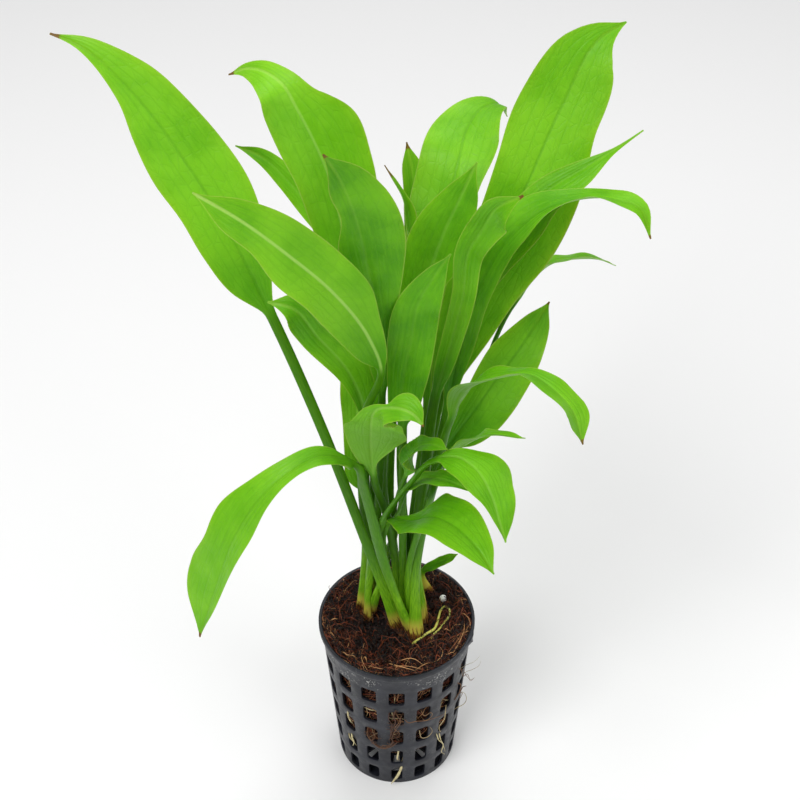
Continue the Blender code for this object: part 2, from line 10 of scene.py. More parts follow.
import bmesh
import bpy
import numpy as np
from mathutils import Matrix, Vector, noise


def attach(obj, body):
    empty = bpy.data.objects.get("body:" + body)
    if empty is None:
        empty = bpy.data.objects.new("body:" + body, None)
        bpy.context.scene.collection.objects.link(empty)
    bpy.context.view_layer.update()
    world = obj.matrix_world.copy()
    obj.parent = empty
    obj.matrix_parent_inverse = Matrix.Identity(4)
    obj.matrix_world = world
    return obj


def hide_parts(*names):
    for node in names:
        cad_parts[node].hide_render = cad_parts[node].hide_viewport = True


MM = 0.001
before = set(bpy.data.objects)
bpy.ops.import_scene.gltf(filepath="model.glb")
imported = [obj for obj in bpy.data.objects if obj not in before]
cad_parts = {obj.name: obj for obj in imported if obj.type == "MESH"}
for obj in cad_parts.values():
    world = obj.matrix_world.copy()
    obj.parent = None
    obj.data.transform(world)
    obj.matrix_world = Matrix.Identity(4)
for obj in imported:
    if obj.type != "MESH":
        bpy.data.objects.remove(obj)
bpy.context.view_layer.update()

# Net pot, as in the solids
RIM_RADIUS = 26.0
POT_HEIGHT = 64.0
LIP_HEIGHT = 2.6
WALL_TOP_RADIUS = 25.0
BASE_RADIUS = 20.5
WALL = 1.0
FLOOR = 1.2
HOLE_COLUMNS = 16
HOLE_ROWS = ((1.9, 8.3), (12.0, 19.9), (24.0, 31.7), (35.7, 43.5), (47.4, 54.1))
FLOOR_SLOT = (9.0, 16.5)

# The pot's finer shape: hole widths and corner radii from the lowest row up
HOLE_WIDTHS = (3.9, 4.3, 4.6, 5.0, 5.3)
HOLE_CORNERS = (1.0, 1.2, 1.3, 1.1, 0.7)
HOLE_ROUNDING = 0.12
CELL_SIDE = 8
FLOOR_HUB = 3.0
LIP_WALL = 1.1
FLAW_ANGLE = -0.33
FLAW_WIDTH = 0.11

# Coir plug, crowns, pellet and surface root, as in the solids
SOIL_BOTTOM = 17.0
SOIL_EDGE = 61.4
SOIL_MIDDLE = 59.2
CROWNS = {"crown_front": (4.4, 0.5, 6.2, 6.4), "crown_left": (-10.0, 7.6, 3.5, 6.6)}
CROWN_TOP = 60.9
PELLET_PLACE = (15.7, 9.6)
PELLET_RADIUS = 1.25
ROOT_RADIUS = 0.5
ROOT_ROUTE = [
    (5.2, -9.6, 61.4), (7.2, -8.0, 61.9), (9.7, -6.0, 62.2), (12.5, -3.9, 62.4), (13.4, -1.6, 62.4),
    (14.1, 1.5, 62.4), (14.9, 4.4, 62.3), (16.1, 6.0, 62.1), (17.5, 5.2, 61.9), (17.7, 3.0, 61.8),
    (16.0, -0.5, 61.6), (13.7, -3.9, 61.5), (12.3, -5.4, 61.4), (11.4, -7.4, 61.3),
]

# How many small extras there are, and the coir's relief
TOP_FIBRES = 5400
SIDE_FIBRES = 2600
CRUMBS = 2600
FOOT_FIBRES = 64
CROWN_FIBRES = 420
INNER_ROOTS = 110
ROOT_ENDS = 90
TANGLED_ROOTS = 7
FIBRES_ON_ROOT = 9
SHORT_SHARE = 0.72
ARCHED_SHARE = 0.24
UPRIGHT_SHARE = 0.22
SIDE_WALK_RADIUS = 22.0
ROOT_WALK_RADIUS = 21.0
ROOT_STEP = 1.5
ROOT_POINTS = 16
ROOT_LEVELS = (17.0, 52.0)
COIR_RELIEF = 1.35
EDGE_RISE = 1.1
EDGE_FROM = 0.72

# The crowns' finer shape: lift over the solid's top, drop at the edge, relief, depth and share of width below
CROWN_LIFT = 0.35
CROWN_ROUNDING = 3.0
CROWN_RELIEF = 0.35
CROWN_DEPTH = 5.4
CROWN_FOOT = 0.7

# Leaves
SEAT = 61.3
FRONT = (0.0, -0.76, 0.65)
LINE_STEPS = 24
STALK_STATIONS = 34
BLADE_STATIONS = 80
BLADE_END = 0.998
COLUMNS = 24
FOOT_RINGS = 5
STALK_FULLNESS = 1.25
SHEATH_LENGTH = 14.0
BLADE_THICKNESS = 0.5
MARGIN_THICKNESS = 0.16
MIDRIB_THICKNESS = 1.1
GROOVE_DEPTH = 0.22
GROOVE_WIDTH = 0.7
KEEL_WIDTH = 0.95
MARGIN_CROWDING = 0.35


class Leaf(NamedTuple):
    """One leaf: the numbers of its solid, then those of its looks.

    The middle line runs from the seat on the crown through the midrib's points, and the blade begins at
    point number start, with the seat as point 0. left and right are half-widths at even steps.
    """

    seat: tuple
    midrib: list
    start: int
    left: tuple
    right: tuple
    face: tuple = FRONT        # roughly where the upper side looks
    turn: tuple = (0,)         # twist in degrees, at even steps
    fold: float = 0.15         # how much the two halves rise from the midrib
    stalk: tuple = (2.1, 1.8)  # width at the seat and at the blade
    tone: float = 0.3          # 0 for a bright blade to 1 for a dark one, partly the leaf's own tone and partly painted shade
    rib: float = 0.1           # how pale the midrib is, or how dark below 0
    wave: tuple = (0.5, 3.0)   # height of the margins' waves, and their count
    tip: float = 0.0           # length of the browned tip
    pale: tuple = (0,)         # share of the underside's look on both sides, at even steps
    sheath: float = 0.35       # how much the stalk widens where it clasps the crown


LEAVES = {
    "leaf_tall_left": Leaf(
        (0.6, -3),
        [(-9.2, -11, 110.6), (-22.4, -6, 156), (-34, -1, 189), (-43, 5, 209), (-55, 13, 229),
         (-70, 21, 248), (-83, 26, 258), (-90, 28, 260)],
        3, (7.1, 9.3, 9.4, 10, 8, 4, 1.6), (4.9, 9.3, 11.8, 11.5, 10, 8.1, 4.1), fold=0.1,
        stalk=(2.6, 2.4), wave=(0.5, 2.5), tip=4.0, rib=-0.25, sheath=0.55),
    "leaf_drooping_left": Leaf(
        (2.9, -4.4),
        [(-4, -14, 102), (-10, -18, 141), (-12, -20, 152), (-22, -25, 160), (-31, -30, 157),
         (-38, -33, 151), (-45, -36, 140), (-52, -39, 121), (-58, -41, 102)],
        3, (3.8, 2.9, 4.7, 6, 5.5, 3.7, 2.3), (2.2, 3.6, 6.2, 9.3, 9.3, 11.7, 9.3),
        face=(-0.25, -0.3, 0.92), fold=0.12, stalk=(3.3, 2.8), tip=2.0, tone=0.15, rib=-0.15,
        sheath=0.55),
    "leaf_front_curled": Leaf(
        (0.4, 0.3),
        [(-0.6, -6.6, 99), (-3, -9.6, 121), (-6.4, -17, 143.7), (-7.1, -19, 156.4),
         (-7.1, -21.3, 163.8), (-6.8, -23.6, 170.2), (-6.1, -25.6, 175.6), (-4.5, -27.2, 178.8),
         (-1.6, -29, 180.7), (1.4, -30.8, 181.9), (4.4, -32.6, 181.7), (7.4, -34.6, 178.9)],
        3, (3, 5.1, 6.7, 7.2, 3.2, 0.9, 4.7), (1, 6.2, 9.8, 9.5, 6.6, 4.4, 3), fold=0.1, tip=1.0,
        tone=0.35, rib=0.3, pale=(1, 1, 0.9, 0, 0, 0)),
    "leaf_dark_front": Leaf(
        (2.7, -0.6),
        [(2, -8.4, 100), (2, -12.4, 158), (2, -12.6, 177), (4, -12.8, 190), (6, -13.8, 204),
         (10, -14.8, 213), (14, -15.8, 221)],
        2, (3.5, 4.1, 5.2, 6.3, 6.2, 4.7, 2.9), (4.4, 6.2, 6.8, 6.5, 6.5, 5.9, 3.1), fold=0.1,
        tone=0.6, rib=0.05),
    "leaf_dark_pointed": Leaf(
        (4.8, 0.5),
        [(3.5, -4, 98), (1.2, -2.6, 138), (2, -1, 161), (4, 0, 184), (9, 1, 203), (13, 2, 216),
         (17, 3, 226), (21, 4, 236)],
        3, (3, 3.4, 5.2, 7, 8.6, 7.8, 4.4), (3, 5.4, 5.8, 5, 7.3, 6.7, 4.6), fold=0.1, tone=0.55,
        rib=0.15),
    "leaf_tall_back": Leaf(
        (3.9, 2.9),
        [(3.9, 1.6, 95), (6.4, 6, 122), (9, 11, 146), (10, 16, 169), (13, 22, 189), (15, 30, 206),
         (18, 37, 218), (20, 44, 222), (24, 51, 225), (30, 58, 223), (33, 61, 217)],
        3, (3.3, 4.4, 9.3, 11.3, 11.1, 10.4, 5.3), (3.4, 6.3, 6.5, 7.2, 7.9, 10.2, 6.2),
        face=(0, -0.1, 0.99), fold=0.08, tone=0.2, rib=-0.3),
    "leaf_short_upright": Leaf(
        (6.7, -1.7),
        [(5.9, -5.6, 99), (8.8, -7, 141), (11, -6, 164), (15, -6, 184), (18, -7, 202),
         (19, -8, 216), (22, -11, 225), (25, -15, 234), (31, -20, 241)],
        3, (2, 2.6, 2.8, 3, 3.5, 4, 2.9), (2, 2.8, 3.2, 3.4, 4, 4.6, 5.6), fold=0.25,
        stalk=(3.4, 2.4), tip=2.0, sheath=0.55),
    "leaf_twisted_right": Leaf(
        (9.0, -0.6),
        [(6.2, -3, 98), (10.6, -2.6, 130), (14, -1, 152), (18, 1, 176), (23, 3, 197), (31, 4, 213),
         (40, 4, 222), (51, 3, 226), (57, -1, 228), (63, -4, 227), (66, -8, 220)],
        3, (2.2, 4.1, 5.3, 6.2, 6.8, 4.6, 3.6), (2.3, 3.9, 4.6, 4.6, 5, 4, 4),
        turn=(10, 15, 20, 35, 70, 0), fold=0.25, tip=2.0, tone=0.5, rib=-0.3),
    "leaf_pointed_right": Leaf(
        (6.9, 0.8),
        [(6.2, -0.5, 98), (9.4, 1, 130), (13, 4, 155), (20, 8, 180), (29, 11, 204), (40, 13, 221),
         (50, 14, 228), (59, 15, 234), (65, 15, 239)],
        4, (2.2, 4.2, 5.3, 4.6, 3.7, 2.4, 0.6), (2.2, 4.6, 6.7, 8, 6.8, 4.9, 1.2),
        turn=(10, 20, 20), rib=0.05),
    "leaf_tall_right": Leaf(
        (6.2, 3),
        [(6.1, 1.6, 95), (8.8, 4, 118), (11, 5.5, 143), (15, 8.5, 163), (23, 13, 188),
         (30, 18, 204), (36, 23, 217), (45, 31, 237), (55, 38, 254), (62, 41, 257)],
        3, (3.9, 6.8, 9.2, 8.8, 10.3, 11.8, 9.4), (3.8, 8.2, 11.2, 15, 15, 11.8, 9.6), fold=0.08,
        tone=0.2, rib=-0.35),
    "leaf_pale_right": Leaf(
        (8.8, 2.9),
        [(6.6, 5, 95), (10.8, 7, 112), (15, 8.4, 131), (23, 12, 143), (30, 17, 152), (37, 22, 160),
         (46, 30, 172)],
        3, (2.3, 4.6, 5.7, 6.8, 7.4, 6.1, 3.7), (6.1, 8.9, 9.7, 9.5, 8.5, 6.7, 4.2), fold=0.06,
        tip=1.5, tone=0.4, rib=-0.4),
    "leaf_back_right": Leaf(
        (6.6, 5.4),
        [(6.5, 7.5, 92), (14, 14.5, 119), (25, 26, 145), (36, 34, 170), (47, 38, 181),
         (55, 40, 181), (62, 42, 179), (67, 43, 176)],
        4, (1.5, 2.6, 3.2, 3.7, 4.1, 3.7, 2.3), (1.9, 3.1, 3.7, 4, 4.1, 3.7, 1.3),
        face=(0, 0.4, 0.9)),
    "leaf_arching_right": Leaf(
        (6.4, -4.5),
        [(6, -8.3, 99), (11.4, -9.6, 139), (15, -10, 160), (20, -12, 174), (28, -16, 181),
         (36, -20, 185), (42, -25, 184), (47, -29, 180), (50, -34, 172)],
        3, (3, 5.6, 6.3, 3.9, 3, 4.9, 5.2), (3, 5.8, 7, 6, 5.5, 6, 5.8), face=(0, 0.3, 0.95),
        fold=0.2, stalk=(2.9, 2.1), tip=2.0, sheath=0.55),
    "leaf_small_right": Leaf(
        (4.7, -2.2),
        [(3.8, -9.6, 99), (10.4, -15.6, 137), (13, -18, 151), (18, -21, 160), (26, -25, 168),
         (35, -29, 170)],
        3, (1.5, 3.1, 3.2, 4.8, 3.1, 2.6, 1.5), (1.9, 3.4, 4.2, 4.5, 4.2, 3.4, 1.9),
        face=(0, 0.35, 0.93), stalk=(1.8, 1.6), tone=0.4),
    "leaf_arching_left": Leaf(
        (-0.5, 2.9),
        [(-6.4, -1, 90), (-8.8, -4.2, 106), (-10, -12, 146), (-8, -15, 169), (-4, -17, 182),
         (-7, -20, 197), (-16, -24, 215), (-27, -27, 229), (-37, -28, 239), (-48, -28, 247)],
        5, (4.7, 6.9, 7.7, 7.6, 7.7, 5.1, 4.2), (2.9, 5.1, 8.1, 8.5, 8.4, 7.5, 4.4),
        turn=(0, 0, 10), fold=0.2, tone=0.25, rib=0.8),
    "leaf_rolled_young": Leaf(
        (1.7, 2.2),
        [(-0.6, 4, 96), (-3.4, 3.8, 120), (0, 6.4, 157), (3, 10, 191), (4, 12, 210), (2, 13, 220),
         (-3, 14, 229)],
        4, (1.2, 1.8, 2, 2, 1.7, 1.1, 0.4), (1.2, 1.8, 2, 2, 1.5, 0.8, 0.4), face=(0.5, -0.6, 0.6),
        fold=0.6, stalk=(1.7, 1.3), tip=5.0),
    "leaf_narrow_back": Leaf(
        (2.2, 5.2),
        [(-2, 9.6, 110), (-0.6, 15, 146), (2, 24, 173), (4, 32, 193), (5, 38, 208), (3, 43, 219)],
        3, (0.8, 1, 1.4, 1.9, 2.6, 3, 2.6), (2.4, 3.4, 3.8, 4, 3.6, 3.2, 2.7), face=(0, -0.3, 0.95),
        tip=3.0),
    "leaf_low_left": Leaf(
        (-11.3, 4.4),
        [(-9.4, 0.4, 98), (-9.6, -4, 130), (-9, -7.5, 156), (-10, -9, 167), (-14, -11, 180),
         (-21, -12, 191), (-28, -13, 202), (-34, -12, 203)],
        3, (1.5, 3, 4, 4.5, 4.5), (5, 8, 9, 8, 6), fold=0.1, stalk=(3, 2.2), tone=0.5, rib=0.2),
    "leaf_upper_left": Leaf(
        (-11.3, 9.2),
        [(-8.6, 6.2, 98), (-7, 5, 122), (-7.5, 7, 153), (-10, 9, 181), (-14, 12, 206),
         (-19, 14, 229), (-26, 18, 244), (-29, 20, 249), (-34, 24, 251), (-39, 28, 250),
         (-45, 32, 246)],
        4, (3.8, 6.8, 8.4, 9.2, 9.8, 8.6, 4.2), (5.1, 8.2, 11, 12.6, 12.8, 5.2, 2.6),
        face=(0.1, -0.7, 0.75), tip=3.0, tone=0.15, rib=0.35),
    "leaf_small_left": Leaf(
        (-11.1, 11.6),
        [(-9.4, 9.4, 98), (-10.2, 9.4, 122), (-11.5, 11, 158), (-13.8, 15, 185.4),
         (-18.3, 20, 202.9), (-23.8, 23, 209.3), (-30.4, 27, 216.2), (-37.2, 30, 221.8),
         (-44.7, 32, 224.3)],
        4, (1.8, 2.6, 3.2, 3.2, 3.1, 2.7, 1.9), (3, 4.8, 5, 5, 4.2, 3.2, 2), fold=0.3, tone=0.35),
    "leaf_hidden_left": Leaf(
        (-11.3, 6.8),
        [(-9.5, 3.4, 97), (-10, 2.4, 118), (-11.6, 3.6, 130), (-11.8, 5.4, 149), (-11.4, 8, 165),
         (-10.8, 11, 179)],
        2, (4.2, 3.8, 3.9, 4.3, 4.8, 4.6, 3.8), (2.4, 3.1, 2.9, 2.6, 2.1, 1.8, 1.2), tone=0.15),
    "leaf_dark_centre": Leaf(
        (-8.8, 10.0),
        [(-2.4, 0.6, 100), (-0.7, -4.2, 114), (-0.6, -10.2, 128), (2.2, -14.4, 142),
         (5.4, -18, 156), (9, -22.5, 162), (14, -28, 165)],
        4, (2.3, 3.7, 4, 3.9, 3, 2.4, 2), (2.2, 4.1, 5.4, 6, 5.4, 4.1, 2.2), face=(0, -0.3, 0.95),
        stalk=(1.9, 1.6), tone=0.9),
    "leaf_front_right": Leaf(
        (-8.9, 2.7),
        [(-8.4, -1, 84), (-6.8, -7.9, 107.5), (-2, -17.4, 133), (4, -22, 148), (11, -27, 161),
         (17, -29, 163), (22, -33, 162), (26, -38, 157), (28, -42, 152), (30, -45, 146)],
        5, (2.1, 4.5, 7, 8, 6.8, 5.2, 3.4), (5.3, 7.3, 7.5, 6, 4.2, 2.3, 1), face=(0.1, -0.1, 0.99),
        fold=0.12, stalk=(2.3, 2.1), tone=0.45, rib=0.2),
    "leaf_low_front": Leaf(
        (-8.6, 5.2),
        [(-6.4, -1.8, 79), (-4.8, -4.2, 90), (-3.9, -9.6, 108), (-2.4, -13.2, 123), (5, -23.4, 133),
         (12, -30.4, 141), (17, -35.4, 142), (22, -41.4, 141), (27, -48.4, 137)],
        4, (0.9, 4.5, 10.8, 9.6, 8.7, 6.8, 4.1), (3.3, 5.8, 8.8, 12.6, 8.8, 7.3, 4.5),
        face=(0.1, -0.1, 0.99), tone=0.4, rib=-0.35),
    "leaf_small_front": Leaf(
        (-8.6, 7.6),
        [(-5.6, 3.6, 82), (-3.5, -1.2, 92), (-0.6, -5.4, 110), (0, -12.2, 125), (3, -15, 138),
         (7, -18.6, 145), (14, -24.4, 150), (22, -30.4, 151)],
        5, (1.3, 2.1, 2.6, 2.8, 2.7, 2.4, 1.3), (3.1, 5.1, 5, 3.6, 2.9, 2.2, 1),
        face=(0, -0.2, 0.98), stalk=(1.9, 1.6), tone=0.8, pale=(1, 0.9, 0.5, 0, 0)),
    "leaf_centre_bent": Leaf(
        (-8.7, 12.4),
        [(-6.5, 2, 100), (-5, -7.4, 134), (-4, -10, 167), (-4.6, -11, 195), (-6.8, -13.5, 212),
         (-9, -16.5, 228), (-11.2, -19.5, 239), (-13.8, -22, 248), (-17, -24, 255)],
        3, (2.9, 4.6, 4.2, 5, 6.4, 3.6, 3.8), (2.6, 4.2, 5.8, 8.9, 11, 10.6, 7), fold=0.08, tip=2.0,
        tone=0.6),
    "leaf_torn_stub": Leaf(
        (11.4, 12.6),
        [(8.6, 11.6, 73), (14, 10.6, 79), (20, 9.4, 84)],
        1, (1, 1.4, 1.5, 1.5, 1.3), (1, 1.4, 1.5, 1.5, 1.3), fold=0.3, stalk=(1.8, 1.5), tone=0.5),
}


# Shader building

class Shader:
    """A material's node tree, with short ways to add to it. Most calls give the new node's output."""

    def __init__(self, name):
        self.material = bpy.data.materials.new(name)
        self.material.use_nodes = True
        self.surface = self.material.node_tree.nodes["Principled BSDF"]

    def put(self, socket, value):
        if hasattr(value, "is_output"):
            self.material.node_tree.links.new(value, socket)
        elif socket.type == "RGBA":
            socket.default_value = (*value, 1.0)
        else:
            socket.default_value = value

    def set(self, **values):
        """Sets the surface's inputs by their names, with _ for a space."""
        for key, value in values.items():
            self.put(self.surface.inputs[key.replace("_", " ")], value)

    def node(self, kind, output, inputs=None, **settings):
        node = self.material.node_tree.nodes.new("ShaderNode" + kind)
        for key, value in settings.items():
            setattr(node, key, value)
        for key, value in (inputs or {}).items():
            self.put(node.inputs[key], value)
        return node.outputs[output]

    def attribute(self, name):
        return self.node("Attribute", "Fac", attribute_name=name)

    def uv(self):
        return self.node("UVMap", "UV", uv_map="mm")

    def place(self):
        return self.node("TexCoord", "Object")

    def math(self, kind, a, b=0.0):
        return self.node("Math", 0, {0: a, 1: b}, operation=kind)

    def plus(self, a, b):
        return self.math("ADD", a, b)

    def times(self, a, b):
        return self.math("MULTIPLY", a, b)

    def ramp(self, value, low, high, to_low=0.0, to_high=1.0):
        """Smooth step of value from low to high."""
        return self.node("MapRange", 0, {"Value": value, "From Min": low, "From Max": high,
                                         "To Min": to_low, "To Max": to_high},
                         interpolation_type="SMOOTHSTEP")

    def mix(self, factor, a, b):
        return self.node("Mix", 2, {0: factor, 6: a, 7: b}, data_type="RGBA")

    def scaled(self, vector, x, y):
        return self.node("Mapping", 0, {"Vector": vector, "Scale": (x, y, 1.0)})

    def noise(self, vector, scale, detail=3.0, roughness=0.5):
        return self.node("TexNoise", 0, {"Vector": vector, "Scale": scale, "Detail": detail,
                                         "Roughness": roughness})

    def cell_edges(self, vector):
        return self.node("TexVoronoi", "Distance", {"Vector": vector, "Scale": 1.0},
                         feature="DISTANCE_TO_EDGE")

    def bump(self, height, strength, distance):
        self.set(Normal=self.node("Bump", 0, {"Strength": strength, "Distance": distance,
                                              "Height": height}))


def blend_colour(a, b, t):
    return tuple(x + (y - x) * t for x, y in zip(a, b))


BRIGHT_BLADE = (0.140, 0.430, 0.006)
# painted shade: the blades' green as it looks in shade, mixed in by each leaf's tone and over the blades'
# lower parts
SHADED_BLADE = (0.020, 0.175, 0.002)
YELLOW_LIGHT = (0.250, 0.580, 0.024)
PALE_RIB = (0.360, 0.620, 0.120)
DARK_RIB = (0.050, 0.230, 0.004)
UNDERSIDE = (0.180, 0.400, 0.036)
MARGIN = (0.300, 0.460, 0.050)
STALK_DARK = (0.045, 0.170, 0.002)
STALK_GREEN = (0.075, 0.240, 0.002)
STALK_LIGHT = (0.230, 0.500, 0.016)
FOOT_YELLOW = (0.780, 0.640, 0.100)
FOOT_BROWN = (0.260, 0.095, 0.014)
BROWN_TIP = (0.150, 0.070, 0.015)

# Fibres' colours, from the dark ones to the pale ones
COIR_FIBRE = ((0.008, 0.002, 0.0015), (0.210, 0.042, 0.011), (0.66, 0.34, 0.14))
SOIL_CRUMB = ((0.003, 0.0015, 0.001), (0.022, 0.007, 0.004), (0.22, 0.11, 0.07))
FINE_ROOT = ((0.070, 0.026, 0.010), (0.190, 0.085, 0.030), (0.64, 0.56, 0.30))
OLD_SHEATH = ((0.030, 0.010, 0.004), (0.280, 0.080, 0.016), (0.700, 0.440, 0.150))

# Side veins: share of the half-width at which each runs, and its strength
SIDE_VEINS = ((0.30, 0.8), (0.56, 0.65), (0.80, 0.4))


def leaf_material(name, leaf):
    """Blade with arching side veins and a fine net of cross veins, and a stalk that yellows at its foot."""
    s = Shader(name)
    half = s.attribute("half")
    along = s.attribute("along")
    foot = s.attribute("foot")
    away = s.math("ABSOLUTE", s.attribute("across"))
    uv = s.uv()

    # painted shade: the blade's green goes toward the shaded green as far as its tone says, and its light
    # patches fade with it
    body = blend_colour(BRIGHT_BLADE, SHADED_BLADE, leaf.tone)
    light = blend_colour(YELLOW_LIGHT, BRIGHT_BLADE, min(1.0, 0.35 + leaf.tone))
    patches = s.noise(s.place(), 45.0, 4.0, 0.55)
    colour = s.mix(s.ramp(patches, 0.36, 0.66), body, light)
    streaks = s.noise(s.scaled(uv, 1.4, 0.10), 1.0, 2.0)
    colour = s.mix(s.ramp(streaks, 0.40, 0.72, 0.0, 0.30), colour, light)

    # veins, as lines that keep their share of the half-width and cross lines between them
    blade = s.ramp(along, -0.02, 0.05)
    vein = 0.0
    for share, strength in SIDE_VEINS:
        gap = s.times(s.math("ABSOLUTE", s.math("SUBTRACT", away, share)), half)
        vein = s.math("MAXIMUM", vein, s.ramp(gap, 0.10, 0.38, strength, 0.0))
    net = s.cell_edges(s.scaled(uv, 0.42, 0.26))
    vein = s.times(s.math("MAXIMUM", vein, s.ramp(net, 0.015, 0.07, 0.45, 0.0)), blade)
    colour = s.mix(s.times(vein, 0.20), colour, blend_colour(DARK_RIB, body, 0.3))
    # painted shade: the blade's lower part darkens toward the shaded green
    shaded_low_blade = s.ramp(along, 0.0, 0.42, 0.42, 0.0)
    colour = s.mix(shaded_low_blade, colour, blend_colour(DARK_RIB, SHADED_BLADE, 0.6))

    # midrib, underside and margin
    rib_line = s.times(s.ramp(s.times(away, half), 0.15, 0.62, 1.0, 0.0), blade)
    rib_colour = PALE_RIB if leaf.rib >= 0.0 else DARK_RIB
    colour = s.mix(s.times(rib_line, abs(leaf.rib)), colour, rib_colour)
    colour = s.mix(s.times(s.attribute("under"), 0.55), colour, UNDERSIDE)
    margin = s.ramp(s.times(s.math("SUBTRACT", 1.0, away), half), 0.05, 0.30, 0.50, 0.0)
    colour = s.mix(s.times(margin, blade), colour, MARGIN)

    # stalk, lighter low down, yellow and then rusty at its foot
    fine = s.noise(s.scaled(uv, 2.6, 0.22), 1.0, 3.0)
    stalk = s.mix(s.ramp(fine, 0.22, 0.78), STALK_DARK, STALK_GREEN)
    low_stalk = s.mix(s.ramp(fine, 0.20, 0.75), STALK_GREEN, STALK_LIGHT)
    stalk = s.mix(s.ramp(foot, 18.0, 48.0, 1.0, 0.0), stalk, low_stalk)
    from_foot = s.plus(foot, s.times(fine, 3.0))
    stalk = s.mix(s.ramp(from_foot, 6.0, 14.0, 0.85, 0.0), stalk, FOOT_YELLOW)
    stained = s.plus(from_foot, s.times(s.noise(s.place(), 420.0, 3.0), -5.0))
    stalk = s.mix(s.ramp(stained, 0.6, 3.2, 0.9, 0.0), stalk, FOOT_BROWN)
    colour = s.mix(blade, stalk, colour)

    crumble = s.math("SUBTRACT", s.noise(s.place(), 900.0, 3.0), 0.5)
    dead = s.ramp(s.plus(s.attribute("browned"), s.times(crumble, 0.6)), 0.35, 0.65)
    s.set(Base_Color=s.mix(dead, colour, BROWN_TIP),
          Roughness=s.ramp(s.noise(s.place(), 260.0), 0.3, 0.7, 0.36, 0.52),
          Specular_IOR_Level=0.16, Subsurface_Weight=0.2, Subsurface_Radius=(0.7, 1.0, 0.2),
          Subsurface_Scale=0.0018)
    ribs = s.times(s.plus(vein, s.times(rib_line, 1.2)), -1.0)
    quilt = s.times(s.ramp(net, 0.0, 0.5), 0.35)
    ridges = s.times(s.times(fine, 0.3), s.math("SUBTRACT", 1.0, blade))
    s.bump(s.plus(s.plus(ribs, quilt), ridges), 0.25, 0.0004)
    return s.material


def plastic_material():
    """Black moulded plastic, dusty under the lip."""
    s = Shader("black_plastic")
    place = s.place()
    cloud = s.noise(place, 120.0, 5.0)
    colour = s.mix(s.ramp(cloud, 0.35, 0.70), (0.008, 0.009, 0.014), (0.017, 0.019, 0.028))
    height = s.node("SeparateXYZ", 2, {0: place})
    band = s.times(s.ramp(height, 0.053, 0.057), s.ramp(height, 0.059, 0.0615, 1.0, 0.0))
    specks = s.ramp(s.noise(place, 1500.0, 2.0), 0.56, 0.66)
    clumps = s.ramp(s.noise(place, 170.0, 2.0), 0.48, 0.62)
    dust = s.times(s.times(specks, clumps), s.plus(0.10, band))
    s.set(Base_Color=s.mix(s.times(dust, 0.7), colour, (0.50, 0.50, 0.47)),
          Roughness=s.ramp(s.noise(place, 400.0, 3.0), 0.3, 0.7, 0.34, 0.50), Specular_IOR_Level=0.38)
    s.bump(s.noise(place, 1600.0, 2.0), 0.12, 0.0002)
    return s.material


def mottled_material(name, patches, colours, bump, **values):
    """Two colours in patches: patches is (scale, detail, roughness, low, high) of their noise.

    bump is (scale, detail, roughness, strength, distance) of the surface's own noise.
    """
    s = Shader(name)
    place = s.place()
    scale, detail, roughness, low, high = patches
    s.set(Base_Color=s.mix(s.ramp(s.noise(place, scale, detail, roughness), low, high), *colours), **values)
    scale, detail, roughness, strength, distance = bump
    s.bump(s.noise(place, scale, detail, roughness), strength, distance)
    return s.material


def coir_material():
    return mottled_material("coir", (260.0, 5.0, 0.6, 0.42, 0.70),
                            ((0.003, 0.0015, 0.001), (0.022, 0.005, 0.0025)),
                            (700.0, 5.0, 0.7, 1.0, 0.0012), Roughness=0.95, Specular_IOR_Level=0.2)


def root_material():
    return mottled_material("root", (420.0, 3.0, 0.5, 0.30, 0.70),
                            ((0.54, 0.53, 0.085), (0.64, 0.62, 0.14)),
                            (1500.0, 2.0, 0.5, 0.15, 0.0003), Roughness=0.5, Subsurface_Weight=0.2,
                            Subsurface_Scale=0.001)


def crown_material():
    return mottled_material("stem_base", (500.0, 4.0, 0.6, 0.38, 0.60),
                            (FOOT_BROWN, (0.070, 0.028, 0.012)),
                            (900.0, 4.0, 0.5, 0.8, 0.0008), Roughness=0.85)


def pellet_material():
    return mottled_material("white_mineral", (900.0, 3.0, 0.5, 0.35, 0.8),
                            ((0.96, 0.96, 0.95), (0.90, 0.89, 0.86)),
                            (2500.0, 2.0, 0.5, 0.12, 0.0002), Roughness=0.55)


def fibre_material(name, dark, middle, pale):
    """Fibres that each take their own shade from the attribute "shade"."""
    s = Shader(name)
    shade = s.attribute("shade")
    colour = s.mix(s.ramp(shade, 0.25, 0.60), dark, middle)
    colour = s.mix(s.ramp(shade, 0.76, 0.97), colour, pale)
    mottled = s.noise(s.place(), 700.0, 2.0)
    s.set(Base_Color=s.mix(s.ramp(mottled, 0.4, 0.7, 0.0, 0.4), colour, dark), Roughness=0.6)
    s.bump(mottled, 0.2, 0.0002)
    return s.material


# Curves and numbers

def smoothstep(t):
    t = min(1.0, max(0.0, t))
    return t * t * (3.0 - 2.0 * t)


def mix(a, b, t):
    return a + (b - a) * t


def polar(radius, angle, z):
    return radius * math.cos(angle), radius * math.sin(angle), z


def hermite(a, b, leave, arrive, t):
    """Smooth value at t from a to b, with the slopes of both ends."""
    return (a * (2 * t ** 3 - 3 * t * t + 1) + b * (3 * t * t - 2 * t ** 3)
            + leave * (t ** 3 - 2 * t * t + t) + arrive * (t ** 3 - t * t))


def even_step(values, t):
    """Which step t from 0 to 1 falls in, and how far into it."""
    place = min(1.0, max(0.0, t)) * (len(values) - 1)
    i = min(int(place), len(values) - 2)
    return i, place - i


def even_value(values, t):
    """Smooth value at t from 0 to 1 of values given at even steps."""
    if len(values) == 1:
        return values[0]
    i, share = even_step(values, t)
    return mix(values[i], values[i + 1], smoothstep(share))


